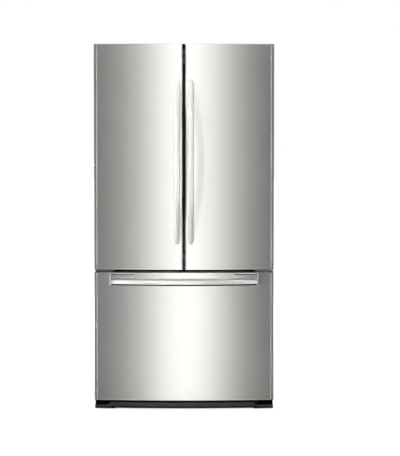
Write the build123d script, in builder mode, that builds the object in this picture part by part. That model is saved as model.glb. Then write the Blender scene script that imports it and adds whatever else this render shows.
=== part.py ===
from build123d import *
import math
import os

os.makedirs("parts", exist_ok=True)

# A french door refrigerator: two bowed doors over a bowed freezer drawer.
# Millimetres. +X is to the right seen from the front, -Y is the front, +Z is up.
# The origin is on the floor, in the middle of the whole object's footprint.
# hand is -1 for a left-hand piece and +1 for its right-hand twin.

# ---------------------------------------------------------------- overall
case_width = 838.0  # cabinet, doors and drawer are equally wide
case_depth = 600.0  # cabinet without its doors
case_top_z = 1680.0
case_bottom_z = 32.0
front_bow = 26.0  # the fronts stand this much further out in the middle than at the sides
door_edge_depth = 70.0  # thickness of doors and drawer front at their side edges
gasket_gap = 12.0  # from the cabinet's face to the back of doors and drawer
handle_reach = 58.0  # handles in front of the crown of the bow

front_y = -(handle_reach + front_bow + door_edge_depth + gasket_gap + case_depth) / 2
crown_y = front_y + handle_reach
door_back_y = crown_y + front_bow + door_edge_depth
case_front_y = door_back_y + gasket_gap
case_back_y = case_front_y + case_depth
half_width = case_width / 2
bow_radius = (half_width**2 + front_bow**2) / (2 * front_bow)
bow_centre_y = crown_y + bow_radius

# ---------------------------------------------------------------- clearances
pin_fit = 0.05  # radial clearance of a running pin
running_gap = 0.3  # between faces that slide past each other
seat_gap = 0.3  # between a soft seal and the face that it closes on
pocket_clearance = 1.0

# ---------------------------------------------------------------- doors and drawer front
door_top_rise = 22.0  # doors above the cabinet's roof
door_bottom_z = 651.5
drawer_top_z = 640.0
drawer_bottom_z = 42.0
centre_gap = 13.5  # between the two doors
skin_gauge = 0.8
skin_corner = 4.0  # outside radius where a skin turns round its edge
side_rail_width = 18.0  # profile down the outer edge of each front
side_rail_corner = 8.0
side_rail_flat = 9.0  # flat strip beside the groove
side_rail_turn = 3.5  # degrees that its flat strip faces away from straight ahead
groove_width = 1.0  # between the skin and the side profile
groove_depth = 1.6
cap_lip = 4.0  # visible edge of the top and bottom caps
cap_height_low = 22.0
cap_height_top = 40.0
inner_panel_gauge = 2.0
door_opening = 120.0  # degrees

door_top_z = case_top_z + door_top_rise
door_inner_x = centre_gap / 2
rail_inner_x = half_width - side_rail_width

# ---------------------------------------------------------------- hinges
hinge_inset_x = 22.0  # hinge axis from the side of the cabinet
hinge_inset_y = 50.0  # hinge axis in front of the cabinet's face
hinge_plate_gauge = 4.0
hinge_pin_radius = 4.0
hinge_pin_length = 14.0
hinge_arm_half = 9.0
hinge_plate_width = 79.0
hinge_plate_depth = 80.0
pocket_drop = 2.0  # pocket floor below the underside of the hinge arm
tongue_bottom_z = 643.5  # centre hinge, in the gap between the doors and the drawer
washer_radius = 8.0
cover_height = 21.0
cover_wall = 2.0

hinge_x = half_width - hinge_inset_x
hinge_plate_inner_x = half_width - hinge_plate_width
hinge_y = case_front_y - hinge_inset_y
pocket_floor_z = case_top_z - pocket_drop
tongue_top_z = tongue_bottom_z + hinge_plate_gauge

# ---------------------------------------------------------------- cabinet
case_gauge = 1.0
liner_gauge = 2.0
fridge_wall = 45.0  # side wall with its foam
fridge_roof = 48.0
freezer_wall = 55.0
back_wall = 60.0
fridge_floor_z = 700.0
freezer_ceiling_z = 612.0
freezer_floor_z = 90.0
freezer_step_z = 300.0  # floor above the machine compartment
freezer_step_lead = 33.0  # step's edge in front of the machine compartment
machine_depth = 220.0
machine_roof_z = 270.0
liner_corner = 18.0
divider_return = 14.0  # depth of the folded rail between the compartments

fridge_half = half_width - fridge_wall
freezer_half = half_width - freezer_wall
fridge_ceiling_z = case_top_z - fridge_roof
cavity_back_y = case_back_y - back_wall
machine_front_y = case_back_y - machine_depth
freezer_step_y = machine_front_y - freezer_step_lead
wrapper_half = half_width - case_gauge
foam_front_y = case_front_y + case_gauge
foam_back_y = case_back_y - case_gauge

# ---------------------------------------------------------------- base, legs, rollers
base_gauge = 2.0
base_rail_inset = 32.0  # middle of a rail from the side
base_rail_width = 30.0
base_rail_bottom_z = 8.0
leg_setback = 27.0
leg_pad_radius = 20.0
leg_pad_height = 7.0
leg_stud_radius = 5.0
roller_radius = 13.0
roller_width = 16.0
roller_axle_radius = 3.0
roller_setback = 43.0
base_rail_x = half_width - base_rail_inset
leg_y = case_front_y + leg_setback
roller_y = case_back_y - roller_setback

# ---------------------------------------------------------------- inside the fridge
shelf_setback = 102.0  # shelves behind the cabinet's face
half_shelf_back_gap = 27.0
full_shelf_back_gap = 19.0
shelf_height = 12.0
shelf_rim = 14.0
rabbet_width = 6.0
glass_gauge = 4.0
shelf_side_gap = 1.5
centre_shelf_gap = 3.0
ledge_width = 8.0
ledge_height = 6.0
first_shelf_z = 1100.0  # underside of a shelf on the lowest ledge
shelf_pitch = 95.0
ledge_count = 6
pantry_shelf_z = 806.0
crisper_cover_z = 990.0
duct_half = 80.0
duct_depth = 24.0
duct_bottom_z = 1012.0
shelf_front_y = case_front_y + shelf_setback
shelf_back_y = cavity_back_y - half_shelf_back_gap
full_shelf_back_y = cavity_back_y - full_shelf_back_gap

# ---------------------------------------------------------------- door inner parts
dyke_height = 50.0
dyke_side_gap = 6.0  # between the raised frame and the liner's wall
dyke_inner_x = 44.0
dyke_width = 20.0
dyke_clearance_z = 6.0
gasket_width = 16.0
gasket_web = 9.0
gasket_outer_x = hinge_x - 1
bin_depth = 95.0
bin_height = 105.0
bin_wall = 2.5
bin_ear = 4.6
bin_ear_height = 6.0
lug_height = 14.0
lug_depth = 12.0
left_bin_tops = (1500.0, 1200.0, 900.0)
right_bin_tops = (1230.0, 900.0)
dairy_pivot_z = 1525.0
dairy_height = 60.0
lid_gauge = 2.5
lid_radius = 85.0
lid_pin_radius = 2.5
cheek_gauge = 3.0
dyke_outer_x = fridge_half - dyke_side_gap
lid_axis_y = door_back_y + 14
dairy_rim_z = dairy_pivot_z - lid_radius / 2
dairy_inner_x = dyke_inner_x + dyke_width + bin_ear + 0.4
dairy_outer_x = dyke_outer_x - dyke_width - bin_ear - 0.4

# ---------------------------------------------------------------- folding centre bar
bar_axis_x = -26.0
bar_axis_back = 8.3  # its axis behind the cabinet's face
bar_front = 8.0  # axis to the sealing face, and to the near edge
bar_rear = 14.0
bar_reach = 52.0
bar_floor_gap = 30.0  # from the compartment's floor and from its ceiling
bar_ceiling_gap = 26.0
bar_pin_radius = 3.0
bar_pin_length = 12.0
bar_lug_gauge = 5.0
bar_corner = 3.0
guide_gap = 2.0
bar_bottom_z = fridge_floor_z + bar_floor_gap
bar_top_z = fridge_ceiling_z - bar_ceiling_gap

# ---------------------------------------------------------------- handles
door_handle_x = 32.0
door_handle_bottom_z = 772.0
door_handle_top_z = 1538.0
bar_width = 26.0
bar_depth = 14.0
bar_round = 5.0
bar_chamfer = 4.0
drawer_handle_reach = 54.0
drawer_handle_inset = 76.0  # its ends from the sides of the drawer
drawer_handle_z = 595.0
drawer_handle_end_y = 13.0  # spine of the bar in front of the skin at its ends
end_plate_gauge = 5.0
pivot_z = 628.0
pivot_pin_radius = 3.5
pivot_pin_length = 12.0
end_block_length = 103.0
end_block_reach = 20.0
end_block_bottom_z = 613.5
end_block_top_z = 638.5

# ---------------------------------------------------------------- freezer drawer inside
panel_field_depth = 18.0  # raised field on the back of the drawer front
slide_z = 330.0
slide_height = 44.0
slide_gauge = 1.6
slide_length = 450.0
slide_setback = 12.0
slide_play = 0.4
basket_side_gap = 30.0
basket_setback = 17.0
basket_depth = 316.0
basket_bottom_z = 100.0
basket_top_z = 480.0
basket_wall = 3.0
tray_side_gap = 16.0
tray_depth = 160.0
tray_height = 62.0


drawer_handle_half = half_width - drawer_handle_inset
end_block_inner_x = drawer_handle_half - end_block_length
slide_front_y = case_front_y + slide_setback
basket_half = freezer_half - basket_side_gap
basket_front_y = case_front_y + basket_setback
tray_half = basket_half - tray_side_gap

# ---------------------------------------------------------------- kick plate
kick_side_gap = 2.0
kick_setback = 8.0  # behind the bow of the drawer front
kick_lip = 14.0  # thickness of the front band
kick_wall = 3.0
kick_bottom_z = 5.0
kick_band_top_z = 32.0
kick_top_z = 38.0
kick_foot_length = 79.0  # corner feet, where the band steps down
kick_foot_top_z = 19.0
kick_foot_bottom_z = 1.0
kick_step = 16.0
kick_gap = 0.3  # between the kick plate and the base behind it
kick_half = half_width - kick_side_gap
kick_foot_x = half_width - kick_foot_length

# ---------------------------------------------------------------- fridge fittings
knob_width = 30.0
knob_height = 6.0
knob_travel = 40.0
knob_depth = 6.0
knob_x = 185.0
light_half = 85.0
light_length = 60.0
light_height = 9.0
light_setback = 157.0
panel_half = 115.0
panel_front_setback = 51.0
panel_length = 62.0
panel_height = 22.0
key_pitch = 34.0
key_width = 24.0
key_length = 16.0

# ---------------------------------------------------------------- cooling
cover_back_gap = 61.0  # evaporator cover in front of the liner's back
cover_gauge = 3.0
fan_z = 545.0
fan_ring_radius = 52.0
fan_blade_radius = 48.0
motor_radius = 17.0
shaft_radius = 3.0
fan_setback = 15.5  # middle of the fan behind the cover's face
evaporator_hub = 18.0
evaporator_back_gap = 23.0
evaporator_side_gap = 84.0
machine_middle = 108.0  # compressor, coil and fan in front of the cabinet's back
compressor_inset = 169.0  # its axis from the side of the cabinet
condenser_inset = 174.0
shroud_x = 60.0
condenser_fan_z = 150.0
condenser_ring = 73.0
condenser_blade_radius = 68.0
shroud_half = 90.0
shroud_top_gap = 15.0
cover_gap = 0.3
lead_entry_inset = 39.0
lead_entry_height = 38.0
bead_inset = 159.0  # stiffening beads of the back panel
bead_end_gap = 105.0
cover_y = cavity_back_y - cover_back_gap
machine_y = case_back_y - machine_middle
condenser_fan_at = (machine_y, condenser_fan_z)
compressor_at = (-half_width + compressor_inset, machine_y)
condenser_x = half_width - condenser_inset

# ================================================================ shared shapes
def upright(y):
    """Plane at y that faces the front, its own axes along +X and +Z."""
    return Plane.XZ.offset(-y)


def bow_y(x, inset=0.0):
    """Y of the bowed front at x, inset behind its surface."""
    return bow_centre_y - math.sqrt((bow_radius - inset) ** 2 - x**2)


def bowed_face(x_from, x_to, inset, back_y, corner=0.0):
    """Plan of a bowed block: arc in front, flat back, a rounded front corner at x_from."""
    x_mid = (x_from + x_to) / 2
    with BuildSketch() as plan:
        with BuildLine():
            front = ThreePointArc(
                (x_from, bow_y(x_from, inset)),
                (x_mid, bow_y(x_mid, inset)),
                (x_to, bow_y(x_to, inset)),
            )
            Polyline(front @ 1, (x_to, back_y), (x_from, back_y), front @ 0)
        make_face()
        if corner > 0:
            fillet(plan.vertices().sort_by_distance((x_from, bow_y(x_from, inset)))[0], corner)
    return plan.sketch


def box_face(x_from, x_to, y_from, y_to, corner=0.0):
    """Rectangle between two corners, rounded if it has a corner radius."""
    width, height = abs(x_to - x_from), abs(y_to - y_from)
    with BuildSketch() as plan:
        with Locations(((x_from + x_to) / 2, (y_from + y_to) / 2)):
            if corner > 0:
                RectangleRounded(width, height, corner)
            else:
                Rectangle(width, height)
    return plan.sketch


def box_part(x, y, z, corner=0.0):
    """Block between two corners given as (from, to) pairs, its upright edges rounded."""
    with BuildPart() as block:
        with BuildSketch(Plane.XY.offset(z[0])):
            add(box_face(x[0], x[1], y[0], y[1], corner))
        extrude(amount=z[1] - z[0])
    return block.part


def flared_block(x, y, z, corner, flare, floor_round):
    """Block that widens upwards to the limits x and y, with a rounded foot."""
    spread = (z[1] - z[0]) * math.tan(math.radians(flare))
    with BuildPart() as block:
        with BuildSketch(Plane.XY.offset(z[0])):
            add(box_face(x[0] + spread, x[1] - spread, y[0] + spread, y[1] - spread, corner))
        extrude(amount=z[1] - z[0], taper=-flare)
        fillet(block.faces().sort_by(Axis.Z)[0].edges(), floor_round)
    return block.part


def tub(x, y, z, wall, corner, flare=2.0, floor_round=5.0):
    """Open-topped moulded tub; x and y are the limits of its rim, z its floor and rim."""
    with BuildPart() as body:
        add(flared_block(x, y, z, corner, flare, floor_round))
        add(flared_block((x[0] + wall, x[1] - wall), (y[0] + wall, y[1] - wall),
                         (z[0] + wall, z[1]), corner - wall / 2, flare, floor_round - wall / 2),
            mode=Mode.SUBTRACT)
    return body.part


def save(part, name):
    """Label a finished piece and write its STEP file."""
    part.label = name
    export_step(part, f"parts/{name}.step")


# ================================================================ cabinet shell
def liner_outline(half, bottom_z, top_z, grow):
    """Front outline of a compartment's liner, grown outwards by grow."""
    return box_face(-half - grow, half + grow, bottom_z - grow, top_z + grow, liner_corner + grow)


fridge_outline = liner_outline(fridge_half, fridge_floor_z, fridge_ceiling_z, liner_gauge)
freezer_outline = liner_outline(freezer_half, freezer_floor_z, freezer_ceiling_z, liner_gauge)
divider_top_z = fridge_floor_z + liner_corner
divider_low_z = freezer_ceiling_z - liner_corner
sill_top_z = freezer_floor_z + liner_corner

with BuildPart() as outer_case:
    with BuildSketch(upright(case_front_y)) as face:
        add(box_face(-half_width, half_width, case_bottom_z, case_top_z))
        fillet(face.vertices().group_by(Axis.Y)[-1], 3)
    extrude(amount=-(case_depth - case_gauge))
    with BuildSketch(upright(foam_front_y)):
        add(box_face(-wrapper_half, wrapper_half, case_bottom_z - 1, case_top_z - case_gauge))
    extrude(amount=-case_depth, mode=Mode.SUBTRACT)
    # the folded front flange that the gaskets close on keeps round the two openings
    with BuildSketch(upright(case_front_y)):
        add(fridge_outline)
        add(freezer_outline)
        add(box_face(-fridge_half - liner_gauge, fridge_half + liner_gauge,
                     divider_low_z, divider_top_z))
        add(box_face(-freezer_half - liner_gauge, freezer_half + liner_gauge,
                     case_bottom_z - 1, sill_top_z))
    extrude(amount=-case_gauge, mode=Mode.SUBTRACT)
save(outer_case.part, "outer_case")

with BuildPart() as back_panel:
    with BuildSketch(upright(foam_back_y)):
        add(box_face(-half_width, half_width, machine_roof_z, case_top_z))
    extrude(amount=-case_gauge)
    # two shallow stiffening beads pressed inwards
    with BuildSketch(upright(case_back_y)):
        with GridLocations(case_width - 2 * bead_inset, 1, 2, 1):
            with Locations((0, (machine_roof_z + case_top_z) / 2)):
                SlotOverall(case_top_z - machine_roof_z - 2 * bead_end_gap, 40, rotation=90)
    extrude(amount=case_gauge / 2, mode=Mode.SUBTRACT)
save(back_panel.part, "back_panel")


def freezer_profile(grow):
    """Side profile of the freezer compartment, grown outwards by grow."""
    with BuildSketch() as profile:
        with BuildLine():
            Polyline(
                (case_front_y, freezer_floor_z - grow),
                (freezer_step_y + grow, freezer_floor_z - grow),
                (freezer_step_y + grow, freezer_step_z - grow),
                (cavity_back_y + grow, freezer_step_z - grow),
                (cavity_back_y + grow, freezer_ceiling_z + grow),
                (case_front_y, freezer_ceiling_z + grow),
                close=True,
            )
        make_face()
    return profile.sketch


with BuildPart() as poured_foam:
    with BuildSketch(upright(foam_front_y)):
        add(box_face(-wrapper_half, wrapper_half, case_bottom_z, case_top_z - case_gauge))
    extrude(amount=-(foam_back_y - foam_front_y))
    with BuildSketch(upright(foam_front_y)):
        add(box_face(-fridge_half - liner_gauge, fridge_half + liner_gauge,
                     fridge_floor_z - liner_gauge, fridge_ceiling_z + liner_gauge))
    extrude(amount=-(cavity_back_y + liner_gauge - foam_front_y), mode=Mode.SUBTRACT)
    with BuildSketch(Plane.YZ):
        add(freezer_profile(liner_gauge))
    extrude(amount=freezer_half + liner_gauge, both=True, mode=Mode.SUBTRACT)
    with BuildSketch(Plane.YZ):
        add(box_face(machine_front_y, case_back_y, 0, machine_roof_z))
        add(box_face(case_front_y, case_front_y + divider_return,
                     freezer_ceiling_z + liner_gauge, fridge_floor_z - liner_gauge))
    extrude(amount=half_width, both=True, mode=Mode.SUBTRACT)


def foam_slabs(z_from, z_to, cuts):
    """The poured foam between two heights, cut into flat slabs where its walls meet."""
    with BuildPart() as zone:
        add(poured_foam.part)
        with BuildSketch(Plane.XY.offset(z_from)):
            Rectangle(case_width, 2 * case_depth)
        extrude(amount=z_to - z_from, mode=Mode.INTERSECT)
        for cut in cuts:
            split(bisect_by=cut, keep=Keep.BOTH)
    return zone.part.solids()


fridge_sides = [Plane.YZ.offset(side * (fridge_half + liner_gauge)) for side in (-1, 1)]
freezer_sides = [Plane.YZ.offset(side * (freezer_half + liner_gauge)) for side in (-1, 1)]
freezer_levels = [Plane.XY.offset(level) for level in
                  (freezer_floor_z - liner_gauge, machine_roof_z, freezer_step_z - liner_gauge)]
roof_z, floor_z = fridge_ceiling_z + liner_gauge, fridge_floor_z - liner_gauge
ceiling_z = freezer_ceiling_z + liner_gauge
save(Compound(children=foam_slabs(roof_z, case_top_z, [])
              + foam_slabs(floor_z, roof_z, fridge_sides)
              + foam_slabs(ceiling_z, floor_z, [])
              + foam_slabs(case_bottom_z, ceiling_z, freezer_sides + freezer_levels)),
     "cabinet_foam")

with BuildPart() as fridge_liner:
    with BuildSketch(upright(case_front_y)):
        add(fridge_outline)
    extrude(amount=-(cavity_back_y + liner_gauge - case_front_y))
    fillet(fridge_liner.faces().sort_by(Axis.Y)[-1].edges(), liner_corner + liner_gauge)
    offset(amount=-liner_gauge, openings=fridge_liner.faces().sort_by(Axis.Y)[0])
    # moulded ledges that carry the shelves at the side walls
    ledge_levels = [first_shelf_z + shelf_pitch * i for i in range(ledge_count)]
    for level in ledge_levels + [pantry_shelf_z, crisper_cover_z]:
        for side in (-1, 1):
            with BuildSketch(Plane.XY.offset(level - ledge_height)):
                add(box_face(side * (fridge_half + 1), side * (fridge_half - ledge_width),
                             shelf_front_y + 5, shelf_back_y - 15))
            extrude(amount=ledge_height)
save(fridge_liner.part, "fridge_liner")

with BuildPart() as freezer_liner:
    with BuildSketch(Plane.YZ):
        add(freezer_profile(liner_gauge))
    extrude(amount=freezer_half + liner_gauge, both=True)
    lengthwise = freezer_liner.edges().filter_by(Axis.Y)
    fillet(lengthwise.group_by(Axis.Z)[0] + lengthwise.group_by(Axis.Z)[-1],
           liner_corner + liner_gauge)
    offset(amount=-liner_gauge, openings=freezer_liner.faces().sort_by(Axis.Y)[0])
save(freezer_liner.part, "freezer_liner")

# folded steel rail that closes the divider between the compartments
with BuildPart() as divider_rail:
    with BuildSketch(upright(case_front_y)):
        add(box_face(-fridge_half - liner_gauge, fridge_half + liner_gauge,
                     divider_low_z, divider_top_z))
        add(fridge_outline, mode=Mode.SUBTRACT)
        add(freezer_outline, mode=Mode.SUBTRACT)
    extrude(amount=-case_gauge)
    for level in (freezer_ceiling_z + liner_gauge, fridge_floor_z - liner_gauge - case_gauge):
        with BuildSketch(Plane.XY.offset(level)):
            add(box_face(-freezer_half, freezer_half, case_front_y,
                         case_front_y + divider_return))
        extrude(amount=case_gauge)
save(divider_rail.part, "divider_rail")

# ================================================================ base
with BuildPart() as base_frame:
    with BuildSketch(Plane.XY.offset(case_bottom_z - base_gauge)):
        add(box_face(-half_width, half_width, case_front_y, case_back_y - 2 * base_gauge))
    extrude(amount=base_gauge)
    # front sill that the drawer's gasket closes on
    with BuildSketch(upright(case_front_y)):
        add(box_face(-freezer_half - liner_gauge, freezer_half + liner_gauge,
                     case_bottom_z - base_gauge, sill_top_z))
        add(freezer_outline, mode=Mode.SUBTRACT)
    extrude(amount=-case_gauge)
    for side in (-1, 1):
        # channel open below, which holds the leg and the roller
        with BuildSketch(upright(case_front_y + base_gauge)):
            with Locations((side * base_rail_x, 0)):
                add(box_face(-base_rail_width / 2, base_rail_width / 2,
                             base_rail_bottom_z, case_bottom_z - base_gauge / 2))
                add(box_face(-base_rail_width / 2 + base_gauge, base_rail_width / 2 - base_gauge,
                             0, case_bottom_z - base_gauge), mode=Mode.SUBTRACT)
        extrude(amount=-(case_depth - 4 * base_gauge))
        # welded nut for the leg's stud
        with BuildSketch(Plane.XY.offset(case_bottom_z - base_gauge)):
            with Locations((side * base_rail_x, leg_y)):
                RegularPolygon(10, 6)
        extrude(amount=-8)
        with BuildSketch(Plane.XY):
            with Locations((side * base_rail_x, leg_y)):
                Circle(leg_stud_radius + pin_fit)
        extrude(amount=case_bottom_z + 1, mode=Mode.SUBTRACT)
        # axle holes of the roller
        with BuildSketch(Plane.YZ.offset(side * base_rail_x)):
            with Locations((roller_y, roller_radius)):
                Circle(roller_axle_radius + pin_fit)
        extrude(amount=base_rail_width, both=True, mode=Mode.SUBTRACT)
save(base_frame.part, "base_frame")

for hand, side_name in ((-1, "left"), (1, "right")):
    with BuildPart() as leg:
        with BuildSketch(Plane.XY):
            with Locations((hand * base_rail_x, leg_y)):
                RegularPolygon(leg_pad_radius, 12)
        extrude(amount=leg_pad_height)
        chamfer(leg.faces().sort_by(Axis.Z)[-1].edges(), 1.5)
        with BuildSketch(Plane.XY.offset(leg_pad_height)):
            with Locations((hand * base_rail_x, leg_y)):
                Circle(leg_stud_radius)
        extrude(amount=case_bottom_z - leg_pad_height - 0.5)
    save(leg.part, f"{side_name}_levelling_leg")

    with BuildPart() as roller:
        with BuildSketch(Plane.YZ.offset(hand * base_rail_x)):
            with Locations((roller_y, roller_radius)):
                Circle(roller_radius)
        extrude(amount=roller_width / 2, both=True)
        chamfer(roller.edges().filter_by(GeomType.CIRCLE), 1.5)
        with BuildSketch(Plane.YZ.offset(hand * base_rail_x)):
            with Locations((roller_y, roller_radius)):
                Circle(roller_axle_radius)
        extrude(amount=base_rail_width / 2, both=True)
    save(roller.part, f"{side_name}_rear_roller")

# ================================================================ kick plate

with BuildPart() as kick_plate:
    # bowed band with the elevation of its front, lower and shorter at the two corners
    with BuildSketch():
        add(bowed_face(-kick_half, kick_half, kick_setback, case_front_y - kick_gap))
        add(bowed_face(-kick_half - 1, kick_half + 1, kick_setback + kick_lip, case_front_y + 1),
            mode=Mode.SUBTRACT)
    extrude(amount=kick_top_z)
    with BuildSketch(upright(front_y)):
        with BuildLine():
            top_step = Spline((kick_foot_x - kick_step / 2, kick_band_top_z),
                              (kick_foot_x + kick_step / 2, kick_foot_top_z),
                              tangents=[(1, 0), (1, 0)])
            low_step = Spline((kick_foot_x - kick_step / 2, kick_bottom_z),
                              (kick_foot_x + kick_step / 2, kick_foot_bottom_z),
                              tangents=[(1, 0), (1, 0)])
            Line(top_step @ 1, (kick_half, kick_foot_top_z))
            Line((kick_half, kick_foot_top_z), (kick_half, kick_foot_bottom_z))
            Line((kick_half, kick_foot_bottom_z), low_step @ 1)
            Line(low_step @ 0, (0, kick_bottom_z))
            Line((0, kick_bottom_z), (0, kick_band_top_z))
            Line((0, kick_band_top_z), top_step @ 0)
        make_face()
        mirror(about=Plane.YZ)
    extrude(amount=-case_depth, mode=Mode.INTERSECT)
    # set-back upper wall, top shelf and ends that reach back to the cabinet
    with BuildSketch(Plane.XY.offset(kick_bottom_z)):
        add(bowed_face(-kick_half, kick_half, kick_setback + kick_lip - 1, case_front_y - kick_gap))
    extrude(amount=kick_top_z - kick_bottom_z)
    with BuildSketch(Plane.XY.offset(kick_bottom_z)):
        add(bowed_face(-kick_half + kick_wall, kick_half - kick_wall,
                       kick_setback + kick_lip + kick_wall, case_front_y))
    extrude(amount=kick_top_z - kick_wall - kick_bottom_z, mode=Mode.SUBTRACT)
save(kick_plate.part, "kick_plate")

# ================================================================ hinges
with BuildPart() as door_hinges:
    for side in (-1, 1):
        axis_at = (side * hinge_x, hinge_y)
        # top hinge: a plate screwed to the roof, a narrow arm and a pin pointing down
        with BuildSketch(Plane.XY.offset(case_top_z)):
            add(box_face(side * hinge_plate_inner_x, side * (hinge_x + hinge_arm_half),
                         case_front_y + 8, case_front_y + 8 + hinge_plate_depth, 4))
            add(box_face(side * (hinge_x - hinge_arm_half), side * (hinge_x + hinge_arm_half),
                         hinge_y, case_front_y + 30))
            with Locations(axis_at):
                Circle(hinge_arm_half)
        extrude(amount=hinge_plate_gauge)
        with BuildSketch(Plane.XY.offset(case_top_z)):
            with Locations(axis_at):
                Circle(hinge_pin_radius)
        extrude(amount=-hinge_pin_length)
        # centre hinge: a plate on the cabinet's face, a tongue, a washer and a pin
        with BuildSketch(Plane.XY.offset(tongue_bottom_z)):
            add(box_face(side * hinge_plate_inner_x, side * (hinge_x + hinge_arm_half),
                         hinge_y + 14, case_front_y, 3))
            with Locations(axis_at):
                Circle(hinge_arm_half + 3)
            add(box_face(side * (hinge_x - 30), side * (hinge_x + hinge_arm_half),
                         hinge_y, case_front_y - 10))
        extrude(amount=hinge_plate_gauge)
        with BuildSketch(upright(case_front_y)):
            with Locations((0, tongue_bottom_z + hinge_plate_gauge / 2)):
                add(box_face(side * hinge_plate_inner_x, side * (hinge_x + hinge_arm_half),
                             -10, 10, 3))
        extrude(amount=hinge_plate_gauge)
        with BuildSketch(Plane.XY.offset(tongue_top_z)):
            with Locations(axis_at):
                Circle(washer_radius)
        extrude(amount=door_bottom_z - running_gap - tongue_top_z)
        with BuildSketch(Plane.XY.offset(tongue_top_z)):
            with Locations(axis_at):
                Circle(hinge_pin_radius)
        extrude(amount=door_bottom_z + hinge_pin_length - tongue_top_z)
save(door_hinges.part, "door_hinges")



def hinge_cover(hand):
    """Thin cover over a top hinge, with a notch where the arm comes out."""
    x = (hand * (hinge_plate_inner_x - 8), hand * (hinge_x + hinge_arm_half + 8))
    y = (case_front_y - 3, case_front_y + hinge_plate_depth + 20)
    with BuildPart() as cover:
        with BuildSketch(Plane.XY.offset(case_top_z)):
            add(box_face(*x, *y, 8))
        extrude(amount=cover_height)
        fillet(cover.faces().sort_by(Axis.Z)[-1].edges(), 5)
        offset(amount=-cover_wall, openings=cover.faces().sort_by(Axis.Z)[0])
        with BuildSketch(upright(y[0] - 1)):
            add(box_face(hand * (hinge_x - hinge_arm_half - 1),
                         hand * (hinge_x + hinge_arm_half + 1),
                         case_top_z - 1, case_top_z + hinge_plate_gauge + 1))
        extrude(amount=-cover_wall - 2, mode=Mode.SUBTRACT)
    return cover.part


save(Compound(children=[hinge_cover(-1), hinge_cover(1)]), "hinge_covers")


# ================================================================ doors and drawer front
def side_rail_face(hand, back_y):
    """Plan of the profile down a front's outer edge: a flat strip, then a round corner."""
    near, far = rail_inner_x, half_width
    strip_y = bow_y(near) + 0.4
    drop = side_rail_flat * math.tan(math.radians(side_rail_turn))
    with BuildSketch() as plan:
        with BuildLine():
            Polyline(
                (hand * near, back_y),
                (hand * near, strip_y + groove_depth),
                (hand * (near + groove_width), strip_y + groove_depth),
                (hand * (near + groove_width), strip_y),
                (hand * (near + groove_width + side_rail_flat), strip_y + drop),
                (hand * far, strip_y + drop + 1.5),
                (hand * far, back_y),
                close=True,
            )
        make_face()
        corner = plan.vertices().sort_by_distance((hand * far, strip_y + drop + 1.5))[0]
        fillet(corner, side_rail_corner - 1)
    return plan.sketch


def pocket_face(hand):
    """Sector that the hinge arm sweeps, seen from the door as it opens."""
    reach = hinge_arm_half + pocket_clearance
    swing = math.radians(door_opening - 90)
    edge_x = hinge_inset_x + 2
    front_run = edge_x * math.tan(swing) + reach / math.cos(swing)
    with BuildSketch() as plan:
        with Locations((hand * hinge_x, hinge_y)):
            Circle(reach)
        with BuildLine():
            Polyline(
                (hand * (hinge_x - reach), hinge_y),
                (hand * (hinge_x - reach), case_front_y),
                (hand * (hinge_x + edge_x), case_front_y),
                (hand * (hinge_x + edge_x), hinge_y - front_run),
                (hand * (hinge_x - reach * math.sin(swing)), hinge_y - reach * math.cos(swing)),
                close=True,
            )
        make_face()
    return plan.sketch


def door_trim(hand):
    """Top cap, bottom cap and outer edge profile of a door, three separate solids."""
    lip_x = (hand * door_inner_x, hand * rail_inner_x)
    block_x = (hand * (door_inner_x + skin_gauge), hand * rail_inner_x)
    with BuildPart() as caps:
        for bottom, top, lip in (
            (door_bottom_z, door_bottom_z + cap_height_low, door_bottom_z),
            (door_top_z - cap_height_top, door_top_z, door_top_z - cap_lip),
        ):
            with BuildSketch(Plane.XY.offset(bottom)):
                add(bowed_face(*block_x, skin_gauge, door_back_y, skin_corner - skin_gauge))
            extrude(amount=top - bottom)
            with BuildSketch(Plane.XY.offset(lip)):
                add(bowed_face(*lip_x, 0, door_back_y, skin_corner))
            extrude(amount=cap_lip)
        with BuildSketch(Plane.XY.offset(pocket_floor_z)):
            add(pocket_face(hand))
        extrude(amount=door_top_z, mode=Mode.SUBTRACT)
        # bearings for the hinge pins
        for start, depth in ((door_bottom_z, hinge_pin_length + 1),
                             (pocket_floor_z, -hinge_pin_length - 1 + pocket_drop)):
            with BuildSketch(Plane.XY.offset(start)):
                with Locations((hand * hinge_x, hinge_y)):
                    Circle(hinge_pin_radius + pin_fit)
            extrude(amount=depth, mode=Mode.SUBTRACT)
    with BuildPart() as rail:
        with BuildSketch(Plane.XY.offset(door_bottom_z)):
            add(side_rail_face(hand, door_back_y))
        extrude(amount=door_top_z - door_bottom_z)
        with BuildSketch(Plane.XY.offset(pocket_floor_z)):
            add(pocket_face(hand))
        extrude(amount=door_top_z, mode=Mode.SUBTRACT)
    return Compound(children=caps.part.solids() + rail.part.solids())


def door_skin(hand):
    """Bowed steel sheet that turns back round the edge beside the other door."""
    with BuildPart() as skin:
        with BuildSketch(Plane.XY.offset(door_bottom_z + cap_lip)):
            add(bowed_face(hand * door_inner_x, hand * rail_inner_x, 0, door_back_y, skin_corner))
            add(bowed_face(hand * (door_inner_x + skin_gauge), hand * (rail_inner_x + 1),
                           skin_gauge, door_back_y + 1, skin_corner - skin_gauge),
                mode=Mode.SUBTRACT)
        extrude(amount=door_top_z - door_bottom_z - 2 * cap_lip)
    return skin.part


def door_foam(hand):
    """Foam core between the skin, the caps and the inner panel."""
    with BuildPart() as foam:
        with BuildSketch(Plane.XY.offset(door_bottom_z + cap_height_low)):
            add(bowed_face(hand * (door_inner_x + skin_gauge), hand * rail_inner_x, skin_gauge,
                           door_back_y - inner_panel_gauge, skin_corner - skin_gauge))
        extrude(amount=door_top_z - cap_height_top - door_bottom_z - cap_height_low)
    return foam.part


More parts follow.
